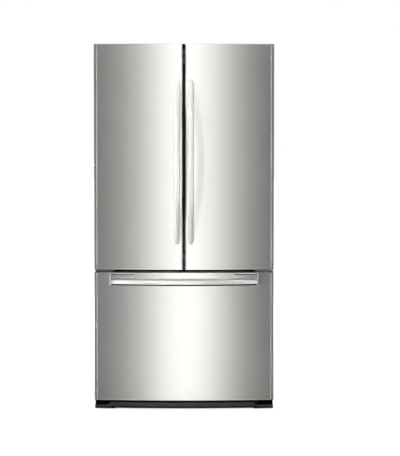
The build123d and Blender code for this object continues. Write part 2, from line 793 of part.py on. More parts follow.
def door_inner_panel(hand, bin_tops):
    """Moulded inner panel with its hollow raised frame and the lugs that carry the bins."""
    low, high = fridge_floor_z + dyke_clearance_z, fridge_ceiling_z - dyke_clearance_z
    panel_x = (hand * (door_inner_x + skin_gauge), hand * rail_inner_x)
    bottom, top = door_bottom_z + cap_height_low, door_top_z - cap_height_top
    with BuildPart() as panel:
        with BuildSketch(upright(door_back_y)):
            add(box_face(*panel_x, bottom, top))
        extrude(amount=inner_panel_gauge)
        with BuildSketch(upright(door_back_y)):
            add(box_face(hand * dyke_inner_x, hand * dyke_outer_x, low, high, 16))
            add(box_face(hand * (dyke_inner_x + dyke_width), hand * (dyke_outer_x - dyke_width),
                         low + dyke_width, high - dyke_width, 6), mode=Mode.SUBTRACT)
        extrude(amount=-dyke_height)
        fillet(panel.faces().sort_by(Axis.Y)[-1].edges(), 3)
        # the raised frame is hollow, open towards the foam
        with BuildSketch(upright(door_back_y - inner_panel_gauge)):
            add(box_face(hand * (dyke_inner_x + inner_panel_gauge),
                         hand * (dyke_outer_x - inner_panel_gauge),
                         low + inner_panel_gauge, high - inner_panel_gauge, 14))
            add(box_face(hand * (dyke_inner_x + dyke_width - inner_panel_gauge),
                         hand * (dyke_outer_x - dyke_width + inner_panel_gauge),
                         low + dyke_width - inner_panel_gauge,
                         high - dyke_width + inner_panel_gauge, 8), mode=Mode.SUBTRACT)
        extrude(amount=-dyke_height, mode=Mode.SUBTRACT)
        for bin_top in bin_tops:
            lug_top = bin_top - bin_ear_height
            for wall_x, inward in ((dyke_inner_x + dyke_width, 1), (dyke_outer_x - dyke_width, -1)):
                with BuildSketch(Plane.XY.offset(lug_top - lug_height)):
                    add(box_face(hand * (wall_x - inward), hand * (wall_x + inward * bin_ear),
                                 door_back_y + 16, door_back_y + 16 + lug_depth))
                extrude(amount=lug_height)
    return panel.part


def ring_face(x_from, x_to, z_from, z_to, width, corner):
    """Frame of the given width just inside a rectangle."""
    low_x, high_x = min(x_from, x_to), max(x_from, x_to)
    with BuildSketch() as ring:
        add(box_face(low_x, high_x, z_from, z_to, corner))
        add(box_face(low_x + width, high_x - width, z_from + width, z_to - width,
                     max(corner - width, 1)), mode=Mode.SUBTRACT)
    return ring.sketch


def gasket(x_from, x_to, z_from, z_to):
    """Magnetic door seal: a narrow web on the panel and a wide head for the cabinet's face."""
    web = (gasket_width - gasket_web) / 2
    low_x, high_x = min(x_from, x_to), max(x_from, x_to)
    with BuildPart() as seal:
        with BuildSketch(upright(door_back_y)):
            add(ring_face(low_x + web, high_x - web, z_from + web, z_to - web, gasket_web, 8))
        extrude(amount=-4)
        with BuildSketch(upright(door_back_y + 4)):
            add(ring_face(low_x, high_x, z_from, z_to, gasket_width, 10))
        extrude(amount=-(gasket_gap - seat_gap - 4))
    return seal.part


def door_handle(hand):
    """Flat bar bent to an arc whose two feet are cut flat against the door."""
    mid_z = (door_handle_bottom_z + door_handle_top_z) / 2
    half_length = (door_handle_top_z - door_handle_bottom_z) / 2
    outer_radius = (half_length**2 + handle_reach**2) / (2 * handle_reach)
    foot_offset = outer_radius - handle_reach
    inner_half = math.sqrt((outer_radius - bar_depth)**2 - foot_offset**2)
    with BuildPart() as handle:
        with BuildSketch(Plane.YZ.offset(hand * door_handle_x - bar_width / 2)):
            with BuildLine():
                outer = ThreePointArc((crown_y, mid_z - half_length), (front_y, mid_z),
                                      (crown_y, mid_z + half_length))
                inner = ThreePointArc((crown_y, mid_z - inner_half), (front_y + bar_depth, mid_z),
                                      (crown_y, mid_z + inner_half))
                Line(outer @ 0, inner @ 0)
                Line(outer @ 1, inner @ 1)
            make_face()
        extrude(amount=bar_width)
        chamfer(handle.edges().filter_by(GeomType.CIRCLE), bar_chamfer)
    return handle.part


def door_bin(hand, top_z):
    """Bin on a door, hung by two ears on the lugs of the inner panel."""
    inner, outer = dyke_inner_x + dyke_width, dyke_outer_x - dyke_width
    near, far = inner + bin_ear + 0.4, outer - bin_ear - 0.4
    middle = (near + far) / 2
    with BuildPart() as body:
        add(tub((-(far - near) / 2, (far - near) / 2), (door_back_y, door_back_y + bin_depth),
                (top_z - bin_height, top_z), bin_wall, 12, flare=1.5, floor_round=4))
        for side in (-1, 1):
            with BuildSketch(Plane.XY.offset(top_z - bin_ear_height)):
                add(box_face(side * ((far - near) / 2 - 2), side * ((far - near) / 2 + bin_ear),
                             door_back_y + 14, door_back_y + 18 + lug_depth))
            extrude(amount=bin_ear_height)
    return body.part.moved(Location((hand * middle, 0, 0)))


gasket_low_z = door_bottom_z + 5
gasket_top_z = case_top_z - 12
for hand, side_name, bin_tops in ((-1, "left", left_bin_tops), (1, "right", right_bin_tops)):
    save(door_trim(hand), f"{side_name}_door_trim")
    save(door_skin(hand), f"{side_name}_door_skin")
    save(door_foam(hand), f"{side_name}_door_foam")
    hung_from = bin_tops if hand < 0 else bin_tops + (dairy_rim_z,)
    save(door_inner_panel(hand, hung_from), f"{side_name}_door_inner_panel")
    seal_inner_x = 4.5 if hand < 0 else 2.5
    save(gasket(hand * seal_inner_x, hand * gasket_outer_x, gasket_low_z, gasket_top_z),
         f"{side_name}_door_gasket")
    save(door_handle(hand), f"{side_name}_door_handle")


# ---------------------------------------------------------------- dairy box of the right door

with BuildPart() as dairy_box:
    add(tub((dairy_inner_x, dairy_outer_x), (door_back_y, door_back_y + bin_depth - 4),
            (dairy_rim_z - dairy_height, dairy_rim_z), bin_wall, 10, flare=1.0, floor_round=4))
    for wall_x, inward in ((dairy_inner_x, 1), (dairy_outer_x, -1)):
        # end cheek with the lid's bearing, and an ear that hangs on the panel's lug
        with BuildSketch(Plane.YZ.offset(wall_x)):
            add(box_face(door_back_y, lid_axis_y + 9, dairy_rim_z - 12, dairy_pivot_z + 9, 4))
        extrude(amount=inward * cheek_gauge)
        with BuildSketch(Plane.YZ.offset(wall_x)):
            with Locations((lid_axis_y, dairy_pivot_z)):
                Circle(lid_pin_radius + pin_fit)
        extrude(amount=inward * cheek_gauge, mode=Mode.SUBTRACT)
        with BuildSketch(Plane.XY.offset(dairy_rim_z - bin_ear_height)):
            add(box_face(wall_x + inward * 2, wall_x - inward * bin_ear,
                         door_back_y + 14, door_back_y + 18 + lug_depth))
        extrude(amount=bin_ear_height)

save(Compound(children=[door_bin(-1, top_z) for top_z in left_bin_tops]), "left_door_bins")
save(Compound(children=[door_bin(1, top_z) for top_z in right_bin_tops] + [dairy_box.part]),
     "right_door_bins")

with BuildPart() as dairy_lid:
    lid_from = dairy_inner_x + cheek_gauge + running_gap
    lid_to = dairy_outer_x - cheek_gauge - running_gap
    with BuildSketch(Plane.YZ.offset(lid_from)):
        with BuildLine():
            roof = Line((lid_axis_y - 5, dairy_pivot_z + 6), (lid_axis_y + 30, dairy_pivot_z + 6))
            nose = TangentArc(roof @ 1, (lid_axis_y + lid_radius, dairy_pivot_z - 34),
                              tangent=(1, 0))
            offset(amount=lid_gauge, side=Side.RIGHT)
        make_face()
        with Locations((lid_axis_y, dairy_pivot_z)):
            Circle(5)
        add(box_face(lid_axis_y - 5, lid_axis_y + 5, dairy_pivot_z, dairy_pivot_z + 5))
    extrude(amount=lid_to - lid_from)
    with BuildSketch(Plane.YZ.offset(lid_from - cheek_gauge)):
        with Locations((lid_axis_y, dairy_pivot_z)):
            Circle(lid_pin_radius)
    extrude(amount=lid_to - lid_from + 2 * cheek_gauge)
save(dairy_lid.part, "dairy_lid")

# ---------------------------------------------------------------- folding centre bar
bar_axis_y = case_front_y + bar_axis_back

# at rest the bar is folded back against the left door's raised frame
with BuildPart() as centre_bar:
    with BuildSketch(Plane.XY.offset(bar_bottom_z)):
        add(box_face(bar_axis_x - bar_rear, bar_axis_x + bar_front,
                     bar_axis_y - bar_front, bar_axis_y + bar_reach, bar_corner))
    extrude(amount=bar_top_z - bar_bottom_z)
    # shallow channel down the rear face
    with BuildSketch(Plane.XY.offset(bar_bottom_z + 20)):
        add(box_face(bar_axis_x - bar_rear - 1, bar_axis_x - bar_rear + 3,
                     bar_axis_y + 12, bar_axis_y + bar_reach - 8))
    extrude(amount=bar_top_z - bar_bottom_z - 40, mode=Mode.SUBTRACT)
    for level, depth in ((bar_bottom_z, bar_pin_length + 1), (bar_top_z, -bar_pin_length - 1)):
        with BuildSketch(Plane.XY.offset(level)):
            with Locations((bar_axis_x, bar_axis_y)):
                Circle(bar_pin_radius + pin_fit)
        extrude(amount=depth, mode=Mode.SUBTRACT)
save(centre_bar.part, "folding_centre_bar")


def bar_bracket(face_z, up):
    """Bracket on the left door with the pin that one end of the centre bar turns on."""
    lug_z = face_z + up * running_gap
    base_from, base_to = bar_axis_x - 13.5, bar_axis_x + 1
    with BuildPart() as bracket:
        with BuildSketch(Plane.XY.offset(lug_z)):
            add(box_face(base_from, base_to, door_back_y, bar_axis_y + 4))
            with Locations((bar_axis_x, bar_axis_y)):
                Circle(6)
        extrude(amount=up * bar_lug_gauge)
        with BuildSketch(upright(door_back_y)):
            add(box_face(base_from, base_to, lug_z + up * bar_lug_gauge, lug_z - up * 30, 3))
        extrude(amount=-3)
        with BuildSketch(Plane.XY.offset(lug_z)):
            with Locations((bar_axis_x, bar_axis_y)):
                Circle(bar_pin_radius)
        extrude(amount=-up * bar_pin_length)
    return bracket.part


save(Compound(children=[bar_bracket(bar_bottom_z, -1), bar_bracket(bar_top_z, 1)]),
     "centre_bar_brackets")

# guides on the cabinet that turn the bar as the left door closes
with BuildPart() as bar_guides:
    for start, end in ((bar_top_z + bar_lug_gauge + guide_gap, fridge_ceiling_z),
                       (fridge_floor_z, bar_bottom_z - bar_lug_gauge - guide_gap)):
        with BuildSketch(Plane.XY.offset(start)):
            add(box_face(-22, 34, case_front_y + 4, case_front_y + 30, 5))
        extrude(amount=end - start)
        with BuildSketch(Plane.XY.offset(start)):
            add(box_face(4, 20, case_front_y, case_front_y + 18, 4))
        extrude(amount=end - start, mode=Mode.SUBTRACT)
save(bar_guides.part, "centre_bar_guides")

# ================================================================ freezer drawer front
drawer_skin_bottom = drawer_bottom_z + cap_lip
drawer_skin_top = drawer_top_z - cap_lip
with BuildPart() as drawer_skin:
    with BuildSketch(Plane.XY.offset(drawer_skin_bottom)):
        add(bowed_face(-rail_inner_x, rail_inner_x, 0, door_back_y))
        add(bowed_face(-rail_inner_x - 1, rail_inner_x + 1, skin_gauge, door_back_y + 1),
            mode=Mode.SUBTRACT)
    extrude(amount=drawer_skin_top - drawer_skin_bottom)
save(drawer_skin.part, "drawer_skin")

with BuildPart() as drawer_foam:
    with BuildSketch(Plane.XY.offset(drawer_bottom_z + cap_height_low)):
        add(bowed_face(-rail_inner_x, rail_inner_x, skin_gauge, door_back_y - inner_panel_gauge))
    extrude(amount=drawer_top_z - drawer_bottom_z - 2 * cap_height_low)
save(drawer_foam.part, "drawer_foam")


def drawer_caps():
    """Top and bottom caps of the drawer front with the two outer edge profiles."""
    with BuildPart() as caps:
        for bottom, lip in ((drawer_bottom_z, drawer_bottom_z),
                            (drawer_top_z - cap_height_low, drawer_top_z - cap_lip)):
            with BuildSketch(Plane.XY.offset(bottom)):
                add(bowed_face(-rail_inner_x, rail_inner_x, skin_gauge, door_back_y))
            extrude(amount=cap_height_low)
            with BuildSketch(Plane.XY.offset(lip)):
                add(bowed_face(-rail_inner_x, rail_inner_x, 0, door_back_y))
            extrude(amount=cap_lip)
    with BuildPart() as rails:
        for hand in (-1, 1):
            with BuildSketch(Plane.XY.offset(drawer_bottom_z)):
                add(side_rail_face(hand, door_back_y))
            extrude(amount=drawer_top_z - drawer_bottom_z)
    return Compound(children=caps.part.solids() + rails.part.solids())


save(drawer_caps(), "drawer_trim")

with BuildPart() as drawer_panel:
    with BuildSketch(upright(door_back_y)):
        add(box_face(-rail_inner_x, rail_inner_x,
                     drawer_bottom_z + cap_height_low, drawer_top_z - cap_height_low))
    extrude(amount=inner_panel_gauge)
    # shallow raised field that fits inside the freezer's opening
    with BuildSketch(upright(door_back_y)):
        add(box_face(-freezer_half + 12, freezer_half - 12,
                     freezer_floor_z + 10, freezer_ceiling_z - 10, 14))
    extrude(amount=-panel_field_depth)
    fillet(drawer_panel.faces().sort_by(Axis.Y)[-1].edges(), 4)
    with BuildSketch(upright(door_back_y - inner_panel_gauge)):
        add(box_face(-freezer_half + 14, freezer_half - 14,
                     freezer_floor_z + 12, freezer_ceiling_z - 12, 12))
    extrude(amount=-panel_field_depth, mode=Mode.SUBTRACT)
save(drawer_panel.part, "drawer_inner_panel")

save(gasket(-gasket_outer_x, gasket_outer_x, freezer_floor_z - 32, freezer_ceiling_z + 20),
     "drawer_gasket")

# ---------------------------------------------------------------- drawer handle
drawer_handle_spine_y = crown_y - drawer_handle_reach + bar_depth / 2
drawer_handle_end = bow_y(drawer_handle_half) - drawer_handle_end_y
pivot_y = bow_y(drawer_handle_half) - 11
end_block_outer_x = drawer_handle_half - end_plate_gauge / 2 - running_gap

with BuildPart() as drawer_handle:
    with BuildLine(Plane.XY.offset(drawer_handle_z)) as arch:
        ThreePointArc((-drawer_handle_half, drawer_handle_end), (0, drawer_handle_spine_y),
                      (drawer_handle_half, drawer_handle_end))
    with BuildSketch(Plane(origin=arch.line @ 0, x_dir=(0, 0, 1), z_dir=arch.line % 0)):
        RectangleRounded(bar_width, bar_depth, bar_round)
    sweep()
    for side in (-1, 1):
        with BuildSketch(Plane.YZ.offset(side * drawer_handle_half)):
            add(box_face(drawer_handle_end - bar_depth / 2 - 1, bow_y(drawer_handle_half) - 1,
                         drawer_handle_z - bar_width / 2, drawer_top_z - 1, 5))
        extrude(amount=end_plate_gauge / 2, both=True)
        with BuildSketch(Plane.YZ.offset(side * drawer_handle_half)):
            with Locations((pivot_y, pivot_z)):
                Circle(pivot_pin_radius)
        extrude(amount=-side * pivot_pin_length)
save(drawer_handle.part, "drawer_handle")

with BuildPart() as handle_blocks:
    for side in (-1, 1):
        with BuildSketch(Plane.XY.offset(end_block_bottom_z)) as plan:
            add(bowed_face(side * end_block_inner_x, side * end_block_outer_x,
                           -end_block_reach, 0, 4))
            add(bowed_face(side * (end_block_inner_x - 1), side * (end_block_outer_x + 1),
                           -seat_gap, 1), mode=Mode.SUBTRACT)
        extrude(amount=end_block_top_z - end_block_bottom_z)
        with BuildSketch(Plane.YZ.offset(side * end_block_outer_x)):
            with Locations((pivot_y, pivot_z)):
                Circle(pivot_pin_radius + pin_fit)
        extrude(amount=-side * (pivot_pin_length + 1), mode=Mode.SUBTRACT)
save(handle_blocks.part, "drawer_handle_blocks")

# ================================================================ freezer drawer inside
def channel_face(web_x, flange_x, height, gauge):
    """C section, seen from the front: an upright web and two flanges towards flange_x."""
    step = gauge if flange_x > web_x else -gauge
    with BuildSketch() as section:
        add(box_face(web_x, flange_x, slide_z - height / 2, slide_z + height / 2))
        add(box_face(web_x + step, flange_x + step, slide_z - height / 2 + gauge,
                     slide_z + height / 2 - gauge), mode=Mode.SUBTRACT)
    return section.sketch


inner_height = slide_height - 2 * (slide_gauge + slide_play)
core_height = inner_height - 2 * (slide_gauge + slide_play)
middle_web_x = freezer_half - slide_gauge - slide_play
core_web_x = middle_web_x - slide_gauge - slide_play
slide_flange_x = freezer_half - 13.0
carry_x = slide_flange_x - 11.0  # inner edge of the moving member, which carries the basket
carry_top_z = slide_z + core_height / 2

with BuildPart() as fixed_slides:
    for side in (-1, 1):
        with BuildSketch(upright(slide_front_y)):
            add(channel_face(side * freezer_half, side * slide_flange_x, slide_height,
                             slide_gauge))
        extrude(amount=-slide_length)
save(fixed_slides.part, "fixed_slides")

with BuildPart() as middle_slides:
    for side in (-1, 1):
        with BuildSketch(upright(slide_front_y)):
            add(channel_face(side * middle_web_x, side * (slide_flange_x - 1), inner_height,
                             slide_gauge))
        extrude(amount=-slide_length)
save(middle_slides.part, "middle_slides")

with BuildPart() as drawer_slides:
    for side in (-1, 1):
        with BuildSketch(upright(slide_front_y)):
            add(channel_face(side * carry_x, side * core_web_x, core_height, slide_gauge))
        extrude(amount=-slide_length)
        # bracket that bolts the slide to the back of the drawer front
        with BuildSketch(upright(door_back_y + panel_field_depth)):
            add(box_face(side * (carry_x - 8), side * (freezer_half - 18),
                         slide_z - 45, slide_z + 45, 4))
        extrude(amount=-3)
        with BuildSketch(Plane.YZ.offset(side * carry_x)):
            with BuildLine():
                Polyline((door_back_y + panel_field_depth, slide_z - 40),
                         (door_back_y + panel_field_depth, slide_z + 40),
                         (slide_front_y + 6, slide_z + core_height / 2),
                         (slide_front_y + 6, slide_z - core_height / 2), close=True)
            make_face()
        extrude(amount=side * slide_gauge)
save(drawer_slides.part, "drawer_slides")

basket_y = (basket_front_y, basket_front_y + basket_depth)
with BuildPart() as basket:
    add(tub((-basket_half, basket_half), basket_y, (basket_bottom_z, basket_top_z),
            basket_wall, 18, flare=1.5, floor_round=10))
    # rows of upright slots in the front, back and side walls
    slot_z = (basket_bottom_z + basket_top_z) / 2 + 50
    with BuildSketch(upright(basket_y[0] - 1)):
        with Locations((0, slot_z)):
            with GridLocations(40, 1, 14, 1):
                SlotOverall(150, 18, rotation=90)
    extrude(amount=-basket_depth - 2, mode=Mode.SUBTRACT)
    # flanges that rest on the slides
    for side in (-1, 1):
        with BuildSketch(Plane.XY.offset(carry_top_z)):
            add(box_face(side * (basket_half - 9), side * (slide_flange_x - 2),
                         basket_y[0] + 24, basket_y[1] - 24))
        extrude(amount=3)
        with BuildSketch(Plane.XY.offset(carry_top_z)):
            add(box_face(side * (basket_half - 9 - basket_wall - 10),
                         side * (basket_half - 9 - basket_wall + 1.5),
                         basket_y[0], basket_y[1]))
        extrude(amount=3, mode=Mode.SUBTRACT)
save(basket.part, "freezer_basket")

with BuildPart() as tray:
    tray_y = (basket_y[0] + 12, basket_y[0] + 12 + tray_depth)
    add(tub((-tray_half, tray_half), tray_y, (basket_top_z + 4 - tray_height, basket_top_z + 4),
            2.5, 12, flare=2.0, floor_round=5))
    for side in (-1, 1):
        # runner flange that slides on the basket's rim
        with BuildSketch(Plane.XY.offset(basket_top_z + running_gap)):
            add(box_face(side * (tray_half - 2), side * (basket_half + 2),
                         tray_y[0] + 14, tray_y[1] - 14))
        extrude(amount=4 - running_gap)
save(tray.part, "freezer_tray")

# ================================================================ inside the fridge
shelf_outer_x = fridge_half - shelf_side_gap


def shelf(x_from, x_to, back_y, level):
    """Rim of a glass shelf with the rabbet that the pane lies in, and the pane."""
    low_x, high_x = min(x_from, x_to), max(x_from, x_to)
    pane_x = (low_x + shelf_rim - rabbet_width, high_x - shelf_rim + rabbet_width)
    pane_y = (shelf_front_y + shelf_rim - rabbet_width, back_y - shelf_rim + rabbet_width)
    pane_z = level + shelf_height - glass_gauge
    with BuildPart() as rim:
        with BuildSketch(Plane.XY.offset(level)):
            add(box_face(low_x, high_x, shelf_front_y, back_y, 5))
            add(box_face(low_x + shelf_rim, high_x - shelf_rim, shelf_front_y + shelf_rim,
                         back_y - shelf_rim, 4), mode=Mode.SUBTRACT)
        extrude(amount=shelf_height)
        with BuildSketch(Plane.XY.offset(pane_z)):
            add(box_face(*pane_x, *pane_y))
        extrude(amount=glass_gauge, mode=Mode.SUBTRACT)
        chamfer(rim.faces().sort_by(Axis.Y)[0].edges().filter_by(Axis.X), 2)
    fit = 0.3
    pane = box_part((pane_x[0] + fit, pane_x[1] - fit), (pane_y[0] + fit, pane_y[1] - fit),
                    (pane_z, pane_z + glass_gauge))
    return rim.part, pane


half_shelf_levels = {-1: (first_shelf_z + shelf_pitch, first_shelf_z + 3 * shelf_pitch),
                     1: (first_shelf_z, first_shelf_z + 2 * shelf_pitch)}
rims, panes = [], []
for hand, levels in half_shelf_levels.items():
    for level in levels:
        rim, pane = shelf(hand * centre_shelf_gap, hand * shelf_outer_x, shelf_back_y, level)
        rims.append(rim)
        panes.append(pane)

pantry_rim, pantry_pane = shelf(-shelf_outer_x, shelf_outer_x, full_shelf_back_y, pantry_shelf_z)
cover_rim, cover_pane = shelf(-shelf_outer_x, shelf_outer_x, full_shelf_back_y, crisper_cover_z)
with BuildPart() as crisper_cover:
    add(cover_rim)
    # slots in the front rim for the two humidity sliders
    for side in (-1, 1):
        with BuildSketch(upright(shelf_front_y)):
            with Locations((side * knob_x, crisper_cover_z + shelf_height / 2)):
                Rectangle(knob_width + knob_travel + 2 * running_gap,
                          knob_height + 2 * running_gap)
        extrude(amount=-knob_depth - running_gap, mode=Mode.SUBTRACT)
save(Compound(children=rims + [pantry_rim, crisper_cover.part]), "shelf_rims")
save(Compound(children=panes + [pantry_pane, cover_pane]), "shelf_glass")

for hand, side_name in ((-1, "left"), (1, "right")):
    with BuildPart() as knob:
        knob_start = hand * knob_x - knob_travel / 2
        with BuildSketch(upright(shelf_front_y + knob_depth)):
            with Locations((knob_start, crisper_cover_z + shelf_height / 2)):
                Rectangle(knob_width, knob_height)
        extrude(amount=knob_depth + 2)
        with BuildSketch(upright(shelf_front_y - 0.5)):
            with Locations((knob_start, crisper_cover_z + shelf_height / 2)):
                RectangleRounded(knob_width, knob_height + 4, 2)
        extrude(amount=4)
    save(knob.part, f"{side_name}_humidity_slider")


def crisper(x_from, x_to, z_from, z_to, back_y):
    """Clear storage drawer with a finger lip along the top of its front."""
    low_x, high_x = min(x_from, x_to), max(x_from, x_to)
    with BuildPart() as drawer:
        add(tub((low_x, high_x), (shelf_front_y + 5, back_y), (z_from, z_to), 3, 14))
        with BuildSketch(Plane.XY.offset(z_to - 4)):
            add(box_face(low_x + 20, high_x - 20, shelf_front_y - 3, shelf_front_y + 7, 3))
        extrude(amount=4)
        with BuildSketch(Plane.XY.offset(z_to - 18)):
            add(box_face(low_x + 20, high_x - 20, shelf_front_y - 3, shelf_front_y, 1))
        extrude(amount=18)
    return drawer.part


crisper_outer_x = fridge_half - ledge_width - 4
crisper_floor_z = pantry_shelf_z + shelf_height
crispers = [crisper(side * centre_shelf_gap, side * crisper_outer_x, crisper_floor_z,
                    crisper_cover_z - 4, full_shelf_back_y - 8) for side in (-1, 1)]
pantry_drawer = crisper(-crisper_outer_x, crisper_outer_x, fridge_floor_z, pantry_shelf_z - 5,
                        full_shelf_back_y - 30)
save(Compound(children=crispers + [pantry_drawer]), "crispers_and_pantry_drawer")

duct_front_y = cavity_back_y - duct_depth
duct_top_z = fridge_ceiling_z - liner_corner - 2
with BuildPart() as air_duct:
    with BuildSketch(Plane.XY.offset(duct_bottom_z)):
        with BuildLine():
            Polyline((-duct_half, cavity_back_y), (-duct_half + 12, duct_front_y),
                     (duct_half - 12, duct_front_y), (duct_half, cavity_back_y), close=True)
        make_face()
    extrude(amount=duct_top_z - duct_bottom_z)
    fillet(air_duct.edges().filter_by(Axis.Z).group_by(Axis.Y)[0], 5)
    offset(amount=-2.5, openings=air_duct.faces().sort_by(Axis.Y)[-1])
    with BuildSketch(upright(duct_front_y)):
        for level in ledge_levels:
            with Locations((-34, level + 52), (34, level + 52)):
                SlotOverall(48, 9)
    extrude(amount=-5, mode=Mode.SUBTRACT)
    # ledges under the back corners of the half shelves
    for level in ledge_levels:
        with BuildSketch(Plane.XY.offset(level - ledge_height)):
            add(box_face(-duct_half + 14, duct_half - 14, duct_front_y - 12, duct_front_y + 1))
        extrude(amount=ledge_height)
save(air_duct.part, "air_duct")

with BuildPart() as ceiling_light:
    with BuildSketch(Plane.XY.offset(fridge_ceiling_z - light_height)):
        add(box_face(-light_half, light_half, case_front_y + light_setback,
                     case_front_y + light_setback + light_length, 10))
    extrude(amount=light_height)
    chamfer(ceiling_light.faces().sort_by(Axis.Z)[0].edges(), 3)
save(ceiling_light.part, "ceiling_light")

panel_front_y = case_front_y + panel_front_setback
panel_back_y = panel_front_y + panel_length
with BuildPart() as control_panel:
    with BuildSketch(Plane.YZ):
        with BuildLine():
            Polyline((panel_front_y, fridge_ceiling_z),
                     (panel_front_y + 6, fridge_ceiling_z - panel_height),
                     (panel_back_y - 8, fridge_ceiling_z - panel_height + 8),
                     (panel_back_y, fridge_ceiling_z), close=True)
        make_face()
    extrude(amount=panel_half, both=True)
    fillet(control_panel.edges().filter_by(Axis.X).group_by(Axis.Z)[0], 3)
    # six flat key fields sunk into the sloping underside
    with BuildSketch(Plane.XY.offset(fridge_ceiling_z - 30)):
        with Locations((0, (panel_front_y + panel_back_y) / 2 - 2)):
            with GridLocations(key_pitch, 1, 6, 1):
                RectangleRounded(key_width, key_length, 3)
    extrude(amount=12.2, mode=Mode.SUBTRACT)
save(control_panel.part, "control_panel")

# ================================================================ cooling


def fan_rotor(blade_radius, hub_radius, hub_length, blade_count, pitch):
    """Fan with its shaft along +Z, the hub centred on the origin, the shaft behind it."""
    with BuildPart() as blade:
        with BuildSketch(Plane.YZ):
            Rectangle(blade_radius * 0.62, 1.6)
        extrude(amount=blade_radius - hub_radius + 2)
    swept = blade.part.rotate(Axis.X, pitch).moved(Location((hub_radius - 2, 0, 0)))
    with BuildPart() as rotor:
        with BuildSketch(Plane.XY.offset(-hub_length / 2)):
            Circle(hub_radius)
        extrude(amount=hub_length)
        fillet(rotor.faces().sort_by(Axis.Z)[-1].edges(), 3)
        for turn in range(blade_count):
            add(swept.rotate(Axis.Z, turn * 360 / blade_count))
        with BuildSketch(Plane.XY.offset(-hub_length / 2)):
            Circle(shaft_radius)
        extrude(amount=-14)
    return rotor.part


with BuildPart() as evaporator_cover:
    with BuildSketch(upright(cover_y)) as plate:
        add(box_face(-freezer_half + running_gap, freezer_half - running_gap,
                     freezer_step_z + running_gap, freezer_ceiling_z - running_gap))
        fillet(plate.vertices().group_by(Axis.Y)[-1], liner_corner)
        with Locations((0, fan_z)):
            Circle(fan_ring_radius, mode=Mode.SUBTRACT)
        # return slots low down
        with Locations((0, freezer_step_z + 60)):
            with GridLocations(44, 1, 13, 1):
                SlotOverall(60, 12, rotation=90, mode=Mode.SUBTRACT)
    extrude(amount=-cover_gauge)
    # fan ring, its four spokes and the motor behind it
    with BuildSketch(upright(cover_y)):
        with Locations((0, fan_z)):
            Circle(fan_ring_radius + 3)
            Circle(fan_ring_radius, mode=Mode.SUBTRACT)
    extrude(amount=-34)
    with BuildSketch(upright(cover_y + 26)):
        with Locations((0, fan_z)):
            Circle(motor_radius)
            Rectangle(2 * fan_ring_radius + 2, 7)
            Rectangle(7, 2 * fan_ring_radius + 2)
    extrude(amount=-8)
    with BuildSketch(upright(cover_y + 26)):
        with Locations((0, fan_z)):
            Circle(shaft_radius + pin_fit)
    extrude(amount=-8, mode=Mode.SUBTRACT)
save(evaporator_cover.part, "evaporator_cover")

rotor = fan_rotor(fan_blade_radius, motor_radius - 2, evaporator_hub, 5, 30)
# local +Z faces the front, local x stays along +X
save(rotor.moved(Location(Plane.XZ)).moved(Location((0, cover_y + fan_setback, fan_z))),
     "evaporator_fan")


def coil(x_mid, y, x_half, levels, tube_radius, plate_height, plate_bottom_z, plate_depth,
         fin_count):
    """Tube bent to and fro through upright plates."""
    pitch = levels[1] - levels[0]
    with BuildPart() as body:
        for run in levels:
            with BuildSketch(Plane.YZ.offset(x_mid - x_half)):
                with Locations((y, run)):
                    Circle(tube_radius)
            extrude(amount=2 * x_half)
        for count, run in enumerate(levels[:-1]):
            side = 1 if count % 2 == 0 else -1
            with BuildLine(upright(y)) as bend:
                ThreePointArc((x_mid + side * x_half, run),
                              (x_mid + side * (x_half + pitch / 2), run + pitch / 2),
                              (x_mid + side * x_half, run + pitch))
            with BuildSketch(Plane(origin=bend.line @ 0, z_dir=bend.line % 0)):
                Circle(tube_radius)
            sweep(path=bend.line)
        step = 2 * (x_half - 6) / (fin_count - 1)
        for count in range(fin_count):
            with BuildSketch(Plane.YZ.offset(x_mid - x_half + 6 + count * step)):
                add(box_face(y - plate_depth / 2, y + plate_depth / 2, plate_bottom_z,
                             plate_bottom_z + plate_height))
            extrude(amount=1)
    return body.part


evaporator_levels = [freezer_step_z + 30 + 35 * row for row in range(5)]
condenser_levels = [case_bottom_z + 38 + 35 * row for row in range(5)]
save(coil(0, cavity_back_y - evaporator_back_gap, freezer_half - evaporator_side_gap,
          evaporator_levels, 4, 190, freezer_step_z, 34, 14), "evaporator")
save(coil(condenser_x, machine_y, 110, condenser_levels, 3, 215, case_bottom_z, 60, 6),
     "condenser_coil")

with BuildPart() as compressor:
    with BuildSketch(Plane.XZ) as half:
        with BuildLine():
            Polyline((0, 52), (58, 52))
            TangentArc((58, 52), (76, 72), tangent=(1, 0))
            Polyline((76, 72), (76, 140), (80, 140), (80, 148), (76, 148), (76, 178))
            ThreePointArc((76, 178), (62, 210), (30, 223))
            Polyline((30, 223), (0, 223), (0, 52))
        make_face()
    revolve(axis=Axis.Z)
    # foot plate on four rubber mounts, and the two tube stubs
    with BuildSketch(Plane.XY.offset(50)):
        RectangleRounded(210, 130, 12)
    extrude(amount=4)
    with BuildSketch(Plane.XY.offset(case_bottom_z)):
        with GridLocations(180, 100, 2, 2):
            Circle(10)
    extrude(amount=50 - case_bottom_z)
    with BuildSketch(Plane.XZ.offset(60)):
        with Locations((-14, 110), (14, 110)):
            Circle(4)
    extrude(amount=40)
save(compressor.part.moved(Location((*compressor_at, 0))), "compressor")

